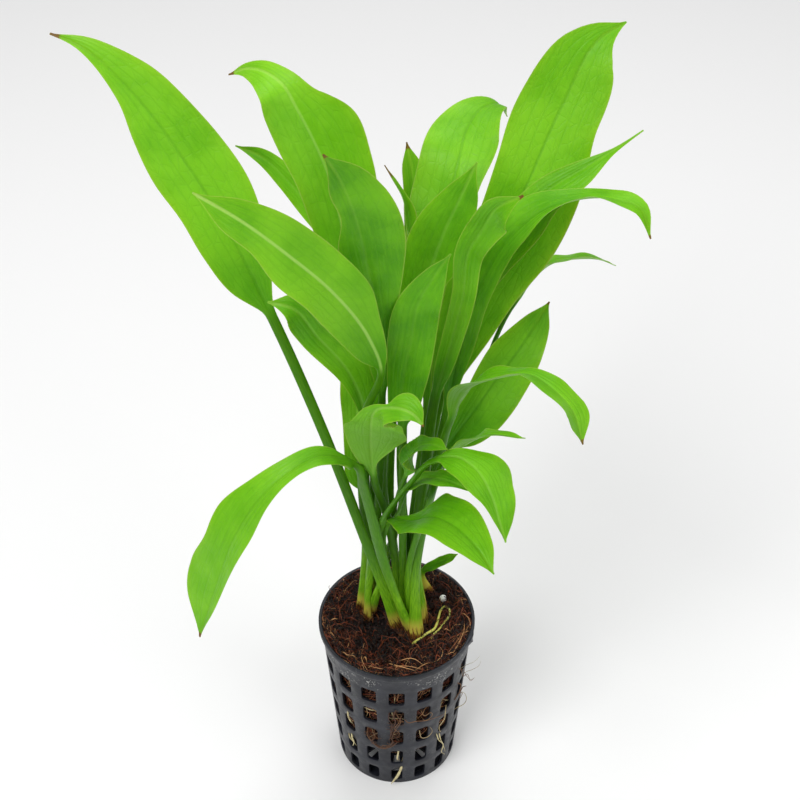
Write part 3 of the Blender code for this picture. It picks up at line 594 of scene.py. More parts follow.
def blade_half(widths, t):
    """Half-width of the blade at t from 0 to 1, on a smooth curve through its even steps."""
    widths = (0.0, *widths, 0.0)
    i, share = even_step(widths, t)
    leave = 0.5 * (widths[i + 1] - widths[max(i - 1, 0)])
    arrive = 0.5 * (widths[min(i + 2, len(widths) - 1)] - widths[i])
    return max(0.0, hermite(widths[i], widths[i + 1], leave, arrive, share))


def smooth_curve(points, per_span):
    """Points along a smooth curve through these, with tangents weighted by the spans' lengths."""
    points = [Vector(p) for p in points]
    spans = [(b - a).length for a, b in zip(points, points[1:])]
    slopes = [(b - a) / d for a, b, d in zip(points, points[1:], spans)]
    tangents = [slopes[0]]
    for i in range(1, len(points) - 1):
        tangents.append((slopes[i - 1] * spans[i] + slopes[i] * spans[i - 1]) / (spans[i] + spans[i - 1]))
    tangents.append(slopes[-1])
    line = [hermite(points[i], points[i + 1], tangents[i] * d, tangents[i + 1] * d, step / per_span)
            for i, d in enumerate(spans) for step in range(per_span)]
    return line + [points[-1]]


def along_line(line, lengths, distance):
    """(point, unit tangent) at a distance along a line, whose running lengths are given."""
    i = 1
    while i < len(lengths) - 1 and lengths[i] < distance:
        i += 1
    share = (distance - lengths[i - 1]) / (lengths[i] - lengths[i - 1])
    return line[i - 1].lerp(line[i], share), (line[i] - line[i - 1]).normalized()


# Mesh helpers

def new_object(name, points, faces, material, smooth_angle=180.0, attributes=None):
    """An object from points in millimetres; attributes are float values per point."""
    mesh = bpy.data.meshes.new(name)
    mesh.from_pydata((np.asarray(points, float) * MM).tolist(), [], faces)
    mesh.update()
    mesh.shade_smooth()
    if smooth_angle < 180.0:
        mesh.set_sharp_from_angle(angle=math.radians(smooth_angle))
    for key, values in (attributes or {}).items():
        layer = mesh.attributes.new(key, "FLOAT", "POINT")
        layer.data.foreach_set("value", np.asarray(values, np.float32))
    mesh.materials.append(material)
    obj = bpy.data.objects.new(name, mesh)
    bpy.context.scene.collection.objects.link(obj)
    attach(obj, "root")
    return obj


def add_uv(obj, pairs):
    """A UV map named mm from one (u, v) for each point."""
    layer = obj.data.uv_layers.new(name="mm")
    corners = np.empty(len(obj.data.loops), int)
    obj.data.loops.foreach_get("vertex_index", corners)
    layer.data.foreach_set("uv", np.asarray(pairs, np.float32)[corners].ravel())


def band(low, high):
    """Quads between two closed loops of point numbers."""
    size = len(low)
    return [(low[k], low[(k + 1) % size], high[(k + 1) % size], high[k]) for k in range(size)]


def ring_bands(rings, count, first=0):
    """Quads between rings of count points each, numbered on from first."""
    starts = [first + count * i for i in range(rings)]
    return [quad for a, b in zip(starts, starts[1:])
            for quad in band(range(a, a + count), range(b, b + count))]


def loft_faces(rings, count, first=0):
    """The same with a flat face at each end."""
    last = first + count * (rings - 1)
    return ring_bands(rings, count, first) + [tuple(range(first, first + count))[::-1],
                                              tuple(range(last, last + count))]


def closed_skin(name, rings, top, bottom, material):
    """A closed skin: a point at the top, rings of points from there down, and a point at the bottom."""
    count = len(rings[0])
    faces = [quad[::-1] for quad in ring_bands(len(rings), count)]
    hub = count * len(rings)
    for k in range(count):
        n = (k + 1) % count
        faces += [(hub, k, n), (hub - count + n, hub - count + k, hub + 1)]
    return new_object(name, [p for ring in rings for p in ring] + [top, bottom], faces, material)


class Strands:
    """Many thin tubes that become one mesh, each with its own radius and shade."""

    SKEW = (0.31, 0.22, 0.93)
    TAPER = 0.75

    def __init__(self):
        self.tubes = []

    def add(self, path, radius, shade):
        self.tubes.append((np.asarray(path, float), radius, shade))

    def build(self, name, material, sides):
        points, faces, shades = [], [], []
        turns = [math.tau * j / sides for j in range(sides)]
        for path, radius, shade in self.tubes:
            tangent = np.gradient(path, axis=0)
            tangent /= np.linalg.norm(tangent, axis=1)[:, None] + 1e-9
            first = np.cross(tangent, self.SKEW)
            first /= np.linalg.norm(first, axis=1)[:, None] + 1e-9
            second = np.cross(tangent, first)
            thick = radius * (1.0 - self.TAPER * np.linspace(0.0, 1.0, len(path)) ** 3)
            faces += loft_faces(len(path), sides, len(points))
            for centre, r, u, v in zip(path, thick, first, second):
                points += [centre + r * (math.cos(a) * u + math.sin(a) * v) for a in turns]
            shades += [shade] * (len(path) * sides)
        return new_object(name, points, faces, material, attributes={"shade": shades})


# Leaves

def leaf_stations(leaf, lengths):
    """(distance, place) of each cross section; place is -1 to 0 on the stalk and 0 to 1 on the blade."""
    blade_from = lengths[leaf.start * LINE_STEPS]
    stations = [(blade_from * i / STALK_STATIONS, i / STALK_STATIONS - 1.0) for i in range(STALK_STATIONS)]
    for i in range(BLADE_STATIONS):
        s = BLADE_END * (i / (BLADE_STATIONS - 1)) ** 0.96
        stations.append((mix(blade_from, lengths[-1], s), s))
    return stations


def leaf_columns():
    """(v, side) round a cross section: v is -1 to 1 across, closer at the margins; side 1 is underneath."""
    steps = [2.0 * k / COLUMNS - 1.0 for k in range(COLUMNS + 1)]
    over = [mix(v, math.sin(0.5 * math.pi * v), MARGIN_CROWDING) for v in steps]
    return [(v, 0) for v in over] + [(v, 1) for v in reversed(over[1:-1])]


def make_leaf(name, leaf, seed):
    """A fine loft of the same midrib and half-widths as the solid, with waves along its margins.

    Gives its lowest rings of points, which the old sheaths' fibres follow.
    """
    line = smooth_curve([(*leaf.seat, SEAT), *leaf.midrib], LINE_STEPS)
    lengths = [0.0]
    for a, b in zip(line, line[1:]):
        lengths.append(lengths[-1] + (b - a).length)
    columns = leaf_columns()
    face = Vector(leaf.face)
    rise, waves = leaf.wave
    rings, uvs = [], []
    attrs = {"across": [], "half": [], "along": [], "under": [], "browned": [], "foot": []}
    for distance, where in leaf_stations(leaf, lengths):
        s = max(0.0, where)
        centre, tangent = along_line(line, lengths, distance)
        across = tangent.cross(face).normalized()
        up = across.cross(tangent).normalized()
        turn = math.radians(even_value(leaf.turn, s))
        side = across * math.cos(turn) + up * math.sin(turn)
        normal = side.cross(tangent).normalized()
        stalk_half = 0.5 * mix(*leaf.stalk, 1.0 + min(0.0, where)) * (1.0 - 0.8 * s)
        stalk_half *= STALK_FULLNESS + leaf.sheath * math.exp(-((distance / SHEATH_LENGTH) ** 2))
        left = math.hypot(stalk_half, blade_half(leaf.left, s))
        right = math.hypot(stalk_half, blade_half(leaf.right, s))
        flat = smoothstep(0.5 * (left + right) / stalk_half - 1.0)
        keel = MIDRIB_THICKNESS * (1.0 - 0.75 * s)
        pale = even_value(leaf.pale, s)
        browned = 0.0
        if leaf.tip > 0.0:
            browned = smoothstep(1.25 - (lengths[-1] - distance) / leaf.tip)
        ring = []
        for v, is_under in columns:
            half = left if v < 0.0 else right
            round_share = math.sqrt(max(0.0, 1.0 - v * v))
            phase = 1.7 * seed + (0.0 if v < 0.0 else 1.9)
            wobble = rise * v * v * math.sin(math.tau * waves * s + phase) * math.sin(math.pi * s)
            sheet = leaf.fold * half * abs(v) ** 1.2 + wobble
            if is_under:
                thick = mix(BLADE_THICKNESS, MARGIN_THICKNESS, v * v) * (1.0 - 0.4 * s)
                bulge = (keel - thick) * math.exp(-((v * half) / KEEL_WIDTH) ** 2)
                height = mix(-stalk_half * (0.45 + 0.75 * round_share), sheet - thick - max(0.0, bulge), flat)
            else:
                groove = GROOVE_DEPTH * math.exp(-((v * half) / GROOVE_WIDTH) ** 2)
                height = mix(-0.45 * stalk_half * (1.0 - round_share), sheet - groove, flat)
            ring.append(centre + side * (v * half) + normal * height)
            uvs.append((v * half, distance))
            for key, value in (("across", v), ("half", half), ("along", where), ("foot", distance),
                               ("under", flat * max(is_under, pale)), ("browned", browned)):
                attrs[key].append(value)
        rings.append(ring)
    obj = new_object(name + "_fine", [p for ring in rings for p in ring],
                     loft_faces(len(rings), len(columns)), leaf_material(name, leaf), 70.0, attrs)
    add_uv(obj, uvs)
    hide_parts(name)
    return rings[:FOOT_RINGS]


# Pot

def wall_radius(z):
    return mix(BASE_RADIUS, WALL_TOP_RADIUS, z / (POT_HEIGHT - LIP_HEIGHT))


def square_loop():
    """Points round a square from -1 to 1, in CELL_SIDE steps a side."""
    steps = [2.0 * k / CELL_SIDE - 1.0 for k in range(CELL_SIDE)]
    return ([(t, -1.0) for t in steps] + [(1.0, t) for t in steps]
            + [(-t, 1.0) for t in steps] + [(-1.0, -t) for t in steps])


def cell_loop(width, height, corner):
    """Points of a rounded rectangle about its middle, in step with a square's edge points."""
    loop = []
    for u, w in square_loop():
        x, y = 0.5 * width * u, 0.5 * height * w
        inner_x = max(-0.5 * width + corner, min(0.5 * width - corner, x))
        inner_y = max(-0.5 * height + corner, min(0.5 * height - corner, y))
        away = Vector((x - inner_x, y - inner_y))
        if away.length > corner:
            away *= corner / away.length
        loop.append((inner_x + away.x, inner_y + away.y))
    return loop


def lip_flaw(angle, z, lip):
    """How far the lip's torn flash sticks out at the right of the pot."""
    away = abs((angle - FLAW_ANGLE + math.pi) % math.tau - math.pi)
    if z < lip or away > FLAW_WIDTH:
        return 0.0
    return (1.0 - away / FLAW_WIDTH) * (0.55 + 0.35 * math.sin(37.0 * angle + 5.0 * z))


def lip_profile(wall_top):
    """(radius, z) from the wall's outside over the lip to its inside."""
    lip = POT_HEIGHT - LIP_HEIGHT
    inside = RIM_RADIUS - LIP_WALL
    return [
        (wall_radius(wall_top), wall_top), (WALL_TOP_RADIUS - 0.02, lip - 0.4),
        (WALL_TOP_RADIUS + 0.1, lip - 0.05), (WALL_TOP_RADIUS + 0.6, lip + 0.25),
        (RIM_RADIUS - 0.15, lip + 0.5), (RIM_RADIUS, lip + 0.9), (RIM_RADIUS, POT_HEIGHT - 0.4),
        (RIM_RADIUS - 0.12, POT_HEIGHT - 0.1), (RIM_RADIUS - 0.4, POT_HEIGHT),
        (inside + 0.35, POT_HEIGHT), (inside + 0.1, POT_HEIGHT - 0.12), (inside, POT_HEIGHT - 0.5),
        (inside, lip + 1.0), (WALL_TOP_RADIUS - WALL, lip + 0.1),
        (wall_radius(wall_top) - WALL, wall_top),
    ]


def make_pot(material):
    """The net pot: cells with rounded holes, a revolved lip and a slotted floor."""
    points, faces, index = [], [], {}

    def point(angle, radius, z):
        key = tuple(round(value, 4) for value in polar(radius, angle, z))
        if key not in index:
            index[key] = len(points)
            points.append(key)
        return index[key]

    # wall: one cell round each hole, through its thickness
    pitch = math.tau / HOLE_COLUMNS
    borders = [0.0] + [0.5 * (low[1] + high[0]) for low, high in zip(HOLE_ROWS, HOLE_ROWS[1:])]
    borders.append(HOLE_ROWS[-1][1] + 2.0)
    depths = ((0.0, 0.5), (HOLE_ROUNDING, 0.0), (WALL - HOLE_ROUNDING, 0.0), (WALL, 0.5))
    for row, (hole_low, hole_high) in enumerate(HOLE_ROWS):
        for column in range(HOLE_COLUMNS):
            turn = column * pitch - 0.5 * math.pi
            square = [(turn + 0.5 * pitch * u, mix(borders[row], borders[row + 1], 0.5 + 0.5 * w))
                      for u, w in square_loop()]
            chain = [[point(a, wall_radius(z), z) for a, z in square]]
            for inward, swell in depths:
                loop = cell_loop(HOLE_WIDTHS[row] + swell, hole_high - hole_low + swell,
                                 HOLE_CORNERS[row] + 0.5 * swell)
                ring = []
                for x, y in loop:
                    z = 0.5 * (hole_low + hole_high) + y
                    ring.append(point(turn + x / wall_radius(z), wall_radius(z) - inward, z))
                chain.append(ring)
            chain.append([point(a, wall_radius(z) - WALL, z) for a, z in square])
            for a, b in zip(chain, chain[1:]):
                faces += band(a, b)

    # lip
    around = HOLE_COLUMNS * CELL_SIDE
    angles = [(k / CELL_SIDE - 0.5) * pitch - 0.5 * math.pi for k in range(around)]
    rows = []
    for r, z in lip_profile(borders[-1]):
        is_outside = r > WALL_TOP_RADIUS
        rows.append([point(a, r + is_outside * lip_flaw(a, z, POT_HEIGHT - LIP_HEIGHT), z) for a in angles])
    for low, high in zip(rows, rows[1:]):
        faces += band(low, high)

    # floor: a sunk disc with eight slots, joined to the wall's foot
    foot = wall_radius(0.0) - WALL
    under, over = ([[point(a, r, z) for a in angles] for r in (rim, *FLOOR_SLOT[::-1], FLOOR_HUB)]
                   for rim, z in ((BASE_RADIUS, 0.0), (foot, FLOOR)))
    slot = [(k // CELL_SIDE) % 2 == 0 and 1 < k % CELL_SIDE < CELL_SIDE - 2 for k in range(around)]
    for rings, z in ((under, 0.0), (over, FLOOR)):
        for i in range(3):
            quads = band(rings[i], rings[i + 1])
            faces += [quad for k, quad in enumerate(quads) if i != 1 or not slot[k]]
        hub = len(points)
        points.append((0.0, 0.0, z))
        faces += [(rings[3][k - 1], rings[3][k], hub) for k in range(around)]
    for k in range(around):
        n = (k + 1) % around
        if slot[k]:
            faces += [(under[i][k], under[i][n], over[i][n], over[i][k]) for i in (1, 2)]
        if slot[k] != slot[n]:
            faces.append((under[1][n], under[2][n], over[2][n], over[1][n]))
    faces += band([point(a, foot, 0.0) for a in angles], over[0])

    obj = new_object("net_pot_fine", points, faces, material, 40.0)
    work = bmesh.new()
    work.from_mesh(obj.data)
    bmesh.ops.recalc_face_normals(work, faces=work.faces)
    work.to_mesh(obj.data)
    work.free()
    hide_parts("net_pot")


# Coir

def wall_share(x, y):
    """How far (x, y) is from the pot's middle, 1 at its wall."""
    return math.hypot(x, y) / (WALL_TOP_RADIUS - WALL)


def soil_height(x, y):
    """Top of the coir: higher by the pot's wall, with soft lumps."""
    share = wall_share(x, y)
    lumps = math.sin(0.55 * x + 1.1) * math.cos(0.5 * y - 0.4) + 0.5 * math.sin(0.9 * y + 0.3 * x)
    return mix(SOIL_MIDDLE, SOIL_EDGE, min(1.0, share) ** 2) + 0.5 * lumps * (1.0 - share ** 4)


def hummock(x, y):
    return noise.noise(Vector((0.45 * x, 0.45 * y, 3.1)))


def rough_height(x, y):
    bump = hummock(x, y) + 0.6 * noise.noise(Vector((1.3 * x, 1.3 * y, 7.7)))
    rim = EDGE_RISE * smoothstep((wall_share(x, y) - EDGE_FROM) / (1.0 - EDGE_FROM))
    return soil_height(x, y) + COIR_RELIEF * bump + rim


def make_plug(material):
    """The coir's own surface: a rough top, a rough side that keeps off the wall, and a ragged underside."""
    sectors, top_rings, levels = 160, 40, 44
    top_r = wall_radius(SOIL_EDGE) - WALL - 0.25
    angles = [math.tau * k / sectors for k in range(sectors)]
    rings = []
    for i in range(1, top_rings + 1):
        flat = [polar(top_r * i / top_rings, a, 0.0) for a in angles]
        rings.append([(x, y, min(rough_height(x, y), POT_HEIGHT - 1.0)) for x, y, _ in flat])
    for level in range(1, levels + 1):
        z = mix(SOIL_EDGE - 0.5, SOIL_BOTTOM, level / levels)
        ring = []
        for a in angles:
            coarse = noise.noise(Vector(polar(9.0, a, 0.4 * z)))
            pit = coarse + 0.5 * noise.noise(Vector(polar(30.0, a, 1.2 * z)))
            fall = 1.2 * noise.noise(Vector(polar(4.0, a, 1.0))) if level == levels else 0.0
            r = wall_radius(z) - WALL - 1.35 - 1.1 * max(0.0, pit + 0.4)
            ring.append(polar(r, a, z - fall))
        rings.append(ring)
    obj = closed_skin("coir_plug_fine", rings, (0.0, 0.0, rough_height(0.0, 0.0)),
                      (0.0, 0.0, SOIL_BOTTOM + 1.5), material)
    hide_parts("coir_plug")


def off_crowns(x, y, margin):
    for cx, cy, half_width, half_depth in CROWNS.values():
        if ((x - cx) / (half_width + margin)) ** 2 + ((y - cy) / (half_depth + margin)) ** 2 < 1.0:
            return False
    return True


# long strands that stand out: start, how far the middle bows from straight, end, radius, shade
LOOSE_STRANDS = (
    ((-11.4, -15.5, 63.4), (-0.8, 0.5, 0.6), (-9.4, -22.9, 64.3), 0.14, 1.0),
    ((-9.8, -20.2, 63.6), (0.2, -0.6, 0.5), (-3.6, -22.6, 64.4), 0.13, 0.97),
    ((-2.4, -19.4, 63.4), (0.4, -0.9, 1.0), (6.2, -23.2, 64.4), 0.17, 0.98),
    ((-1.6, -20.4, 63.3), (0.6, -0.4, 1.3), (8.6, -22.6, 64.3), 0.14, 0.93),
    ((0.4, -18.2, 63.2), (0.8, 0.6, 1.6), (8.8, -20.6, 64.0), 0.15, 1.0),
    ((5.4, -23.0, 64.0), (1.4, 0.8, 0.8), (11.2, -19.0, 63.4), 0.13, 0.95),
    ((2.2, -21.8, 64.0), (0.4, 0.2, 0.6), (4.0, -17.0, 63.2), 0.10, 1.0),
    ((16.6, -15.2, 63.4), (1.2, 0.9, 0.9), (21.6, -6.2, 63.6), 0.12, 0.85),
    ((20.2, -11.6, 63.6), (0.9, 0.3, 1.0), (22.4, -1.6, 63.6), 0.13, 0.92),
    ((-21.4, 7.4, 63.2), (-0.4, 0.6, 1.0), (-17.4, 14.2, 65.6), 0.09, 0.55),
    ((-20.8, 9.6, 63.2), (-1.2, 0.4, 1.8), (-22.6, 12.0, 66.0), 0.09, 0.50),
    ((-19.8, 2.6, 62.6), (0.6, 1.0, 0.8), (-15.0, 9.6, 64.0), 0.12, 0.70),
    ((9.8, -8.0, 61.4), (0.2, 0.8, 1.2), (16.4, -6.8, 62.4), 0.10, 0.85),
    ((8.2, -10.4, 61.2), (0.6, 0.2, 1.6), (18.4, -8.6, 62.6), 0.10, 0.80),
    ((-3.2, -10.0, 60.8), (0.8, -1.2, 1.8), (3.8, -15.8, 62.4), 0.12, 0.75),
    ((-1.8, -14.6, 61.6), (-0.4, 0.4, 1.4), (4.6, -11.0, 62.0), 0.11, 0.82),
    ((12.4, 17.6, 62.6), (0.8, -0.4, 1.4), (18.6, 11.8, 63.8), 0.11, 0.72),
    ((10.2, 19.2, 63.0), (0.6, 0.2, 1.0), (20.0, 8.4, 63.6), 0.10, 0.66),
)


def curve_path(points, count):
    line = smooth_curve(points, 12)
    return [tuple(line[i]) for i in np.linspace(0, len(line) - 1, count).round().astype(int)]


def make_top_fibres(material, rng):
    """Coconut fibres matted on the soil, thicker and redder toward the pot's wall, many standing up."""
    limit = wall_radius(SOIL_EDGE) - WALL - 0.2
    lip_limit = RIM_RADIUS - LIP_WALL - 0.15
    steps = 8
    fibres = Strands()
    while len(fibres.tubes) < TOP_FIBRES:
        r = limit * math.sqrt(rng.random())
        share = r / limit
        if rng.random() > 0.22 + 0.78 * smoothstep((share - 0.25) / 0.45):
            continue
        a = rng.random() * math.tau
        x, y, _ = polar(r, a, 0.0)
        if not off_crowns(x, y, 0.2):
            continue
        length = rng.uniform(1.4, 5.5) if rng.random() < SHORT_SHARE else rng.uniform(5.0, 11.0)
        heading = rng.random() * math.tau
        if share > 0.8 and rng.random() < 0.5:
            heading = a + 0.5 * math.pi + rng.normal(0.0, 0.5)
        bend = rng.normal(0.0, 1.3) / length
        arch = abs(rng.normal(0.0, 0.8))
        arch += rng.uniform(0.8, 2.8) if rng.random() < ARCHED_SHARE else 0.0
        tip = rng.uniform(0.8, 3.2) if rng.random() < UPRIGHT_SHARE else 0.0
        step = length / (steps - 1)
        path = []
        for k in range(steps):
            t = k / (steps - 1)
            z = rough_height(x, y) + 0.10 + arch * math.sin(math.pi * t) + tip * t * t
            top = POT_HEIGHT + (0.9 if math.hypot(x, y) < lip_limit - 0.6 else 0.2)
            path.append((x, y, min(z, top)))
            heading += bend * step + rng.normal(0.0, 0.12)
            nx, ny = x + step * math.cos(heading), y + step * math.sin(heading)
            reach = math.hypot(nx, ny)
            edge = limit if path[-1][2] < POT_HEIGHT - LIP_HEIGHT + 0.6 else lip_limit
            if reach > edge:
                nx, ny = nx * edge / reach, ny * edge / reach
                heading += 0.6
            if not off_crowns(nx, ny, 0.0):
                heading += 1.4
                nx, ny = x + step * math.cos(heading), y + step * math.sin(heading)
            x, y = nx, ny
        radius = 0.055 + 0.17 * rng.random() ** 2
        # painted shade: fibres that start low in the coir's pits are darker, those on the hummocks paler
        painted_relief_light = smoothstep(0.55 + 0.9 * hummock(*path[0][:2]))
        shade = rng.random() ** 1.45 * (0.46 + 0.54 * share) * mix(0.40, 1.25, painted_relief_light)
        fibres.add(path, radius, shade)
    for start, bow, end, radius, shade in LOOSE_STRANDS:
        middle = 0.5 * (Vector(start) + Vector(end)) + Vector(bow)
        fibres.add(curve_path((start, middle, end), 8), radius, shade)
    fibres.build("coir_top_fibres", material, 4)


def make_side_fibres(material, rng):
    """Fibres round the plug's side, seen through the pot's holes."""
    fibres = Strands()
    for _ in range(SIDE_FIBRES):
        z = rng.uniform(SOIL_BOTTOM + 1.0, SOIL_EDGE - 3.0)
        a = rng.random() * math.tau
        slope = rng.normal(0.0, 1.0)
        step = rng.uniform(4.0, 13.0) / 6.0
        depth = rng.uniform(0.2, 1.6)
        bend = rng.normal(0.0, 0.8) / 6.0
        path = []
        for k in range(7):
            path.append(polar(wall_radius(z) - WALL - 0.15 - depth + 0.25 * math.sin(2.2 * k + z), a, z))
            a += step * math.cos(slope) / SIDE_WALK_RADIUS
            z = max(SOIL_BOTTOM - 1.0, min(SOIL_EDGE - 1.0, z + step * math.sin(slope)))
            slope += bend
        fibres.add(path, 0.06 + 0.13 * rng.random() ** 2, rng.random() ** 0.9)
    fibres.build("coir_side_fibres", material, 3)


CRUMB_RING = ((0.894, 0.0), (0.276, 0.851), (-0.724, 0.526), (-0.724, -0.526), (0.276, -0.851))


def crumb_shape():
    """Points and faces of a ball of 20 triangles, from its upper ring and that ring turned over."""
    points = [(0.0, 0.0, 1.0)] + [(x, y, 0.447) for x, y in CRUMB_RING]
    points += [(-CRUMB_RING[i][0], CRUMB_RING[i][1], -0.447) for i in (2, 1, 0, 4, 3)]
    faces = []
    for k in range(5):
        n = (k + 1) % 5
        faces += [(0, 1 + k, 1 + n), (1 + k, 6 + k, 1 + n), (6 + k, 6 + n, 1 + n), (11, 6 + n, 6 + k)]
    return points + [(0.0, 0.0, -1.0)], faces


def make_grains(material, rng):
    """Crumbs of dark soil over the coir's top, thicker near the crowns."""
    ball, triangles = crumb_shape()
    limit = wall_radius(SOIL_EDGE) - WALL - 0.8
    points, faces, shades = [], [], []
    while len(shades) < CRUMBS * len(ball):
        if rng.random() < 0.45:
            x, y = rng.normal(-2.0, 8.0), rng.normal(1.5, 6.0)
        else:
            r = limit * math.sqrt(rng.random())
            x, y, _ = polar(r, rng.random() * math.tau, 0.0)
        if math.hypot(x, y) > limit or not off_crowns(x, y, 0.1):
            continue
        size = rng.uniform(0.25, 0.8)
        stretch = rng.uniform(0.6, 1.3, 3) * size * (1.0, 1.0, 0.7)
        middle = (x, y, rough_height(x, y) + 0.2 * size)
        faces += [tuple(len(points) + i for i in triangle) for triangle in triangles]
        shades += [rng.random() ** 3 * 0.7] * len(ball)
        for p in ball:
            points.append(middle + np.array(p) * stretch * rng.uniform(0.75, 1.2))
    new_object("soil_grains", points, faces, material, 30.0, {"shade": shades})


def make_foot_fibres(material, rng, feet):
    """What is left of old leaf sheaths: rusty fibres that hug the stalks' feet and splay a little."""
    fibres = Strands()
    for rings in feet:
        count = len(rings[0])
        middles = [sum(ring, Vector()) / count for ring in rings]
        spacing = (middles[1] - middles[0]).length
        for _ in range(FOOT_FIBRES):
            start = rng.random() * count
            rise = rng.uniform(1.6, 4.2) if rng.random() < 0.75 else rng.uniform(4.0, 8.0)
            splay = abs(rng.normal(0.0, 0.4)) if rng.random() < 0.5 else 0.0
            drift = rng.normal(0.0, 2.2)
            path = []
            for k in range(6):
                t = k / 5.0
                level, up = divmod(min(len(rings) - 1.01, rise * t / spacing), 1.0)
                low, high = int(level), int(level) + 1
                column, turn = divmod((start + drift * t) % count, 1.0)
                near, far = int(column), (int(column) + 1) % count
                lower = rings[low][near].lerp(rings[low][far], turn)
                place = lower.lerp(rings[high][near].lerp(rings[high][far], turn), up)
                out = place - middles[low].lerp(middles[high], up)
                path.append(place + out.normalized() * (0.06 + splay * t * t))
            fibres.add(path, 0.07 + 0.13 * rng.random() ** 2, rng.random())
    for _ in range(CROWN_FIBRES):
        x, y, half_width, half_depth = CROWNS["crown_front" if rng.random() < 0.6 else "crown_left"]
        a, reach = rng.random() * math.tau, math.sqrt(rng.uniform(0.1, 1.25))
        x, y = x + reach * half_width * math.cos(a), y + reach * half_depth * math.sin(a)
        heading = rng.random() * math.tau
        step, arch = rng.uniform(1.2, 4.5) / 5.0, rng.uniform(0.2, 0.9)
        path = []
        for k in range(6):
            path.append((x, y, CROWN_TOP + CROWN_LIFT + arch * math.sin(math.pi * k / 5.0)))
            x, y = x + step * math.cos(heading), y + step * math.sin(heading)
            heading += rng.normal(0.0, 0.25)
        fibres.add(path, 0.06 + 0.12 * rng.random() ** 2, rng.random() ** 1.6 * 0.8)
    fibres.build("sheath_fibres", material, 4)


# Roots

def make_roots(material, rng):
    """Pale and brown roots that wander behind the pot's holes."""
    roots = Strands()
    for _ in range(INNER_ROOTS):
        a = rng.random() * math.tau
        z = rng.uniform(20.0, 50.0)
        slope = rng.normal(-0.5, 0.9)
        depth = rng.uniform(-0.1, 1.1)
        path = []
        for k in range(ROOT_POINTS):
            path.append(polar(wall_radius(z) - WALL - 0.3 - depth - 0.3 * math.sin(1.3 * k + depth), a, z))
            a += ROOT_STEP * math.cos(slope) / ROOT_WALK_RADIUS
            z = max(ROOT_LEVELS[0], min(ROOT_LEVELS[1], z + ROOT_STEP * math.sin(slope)))
            slope += rng.normal(0.0, 0.35)
        roots.add(path, 0.09 + 0.16 * rng.random() ** 2, rng.random())
    roots.build("inner_roots", material, 5)


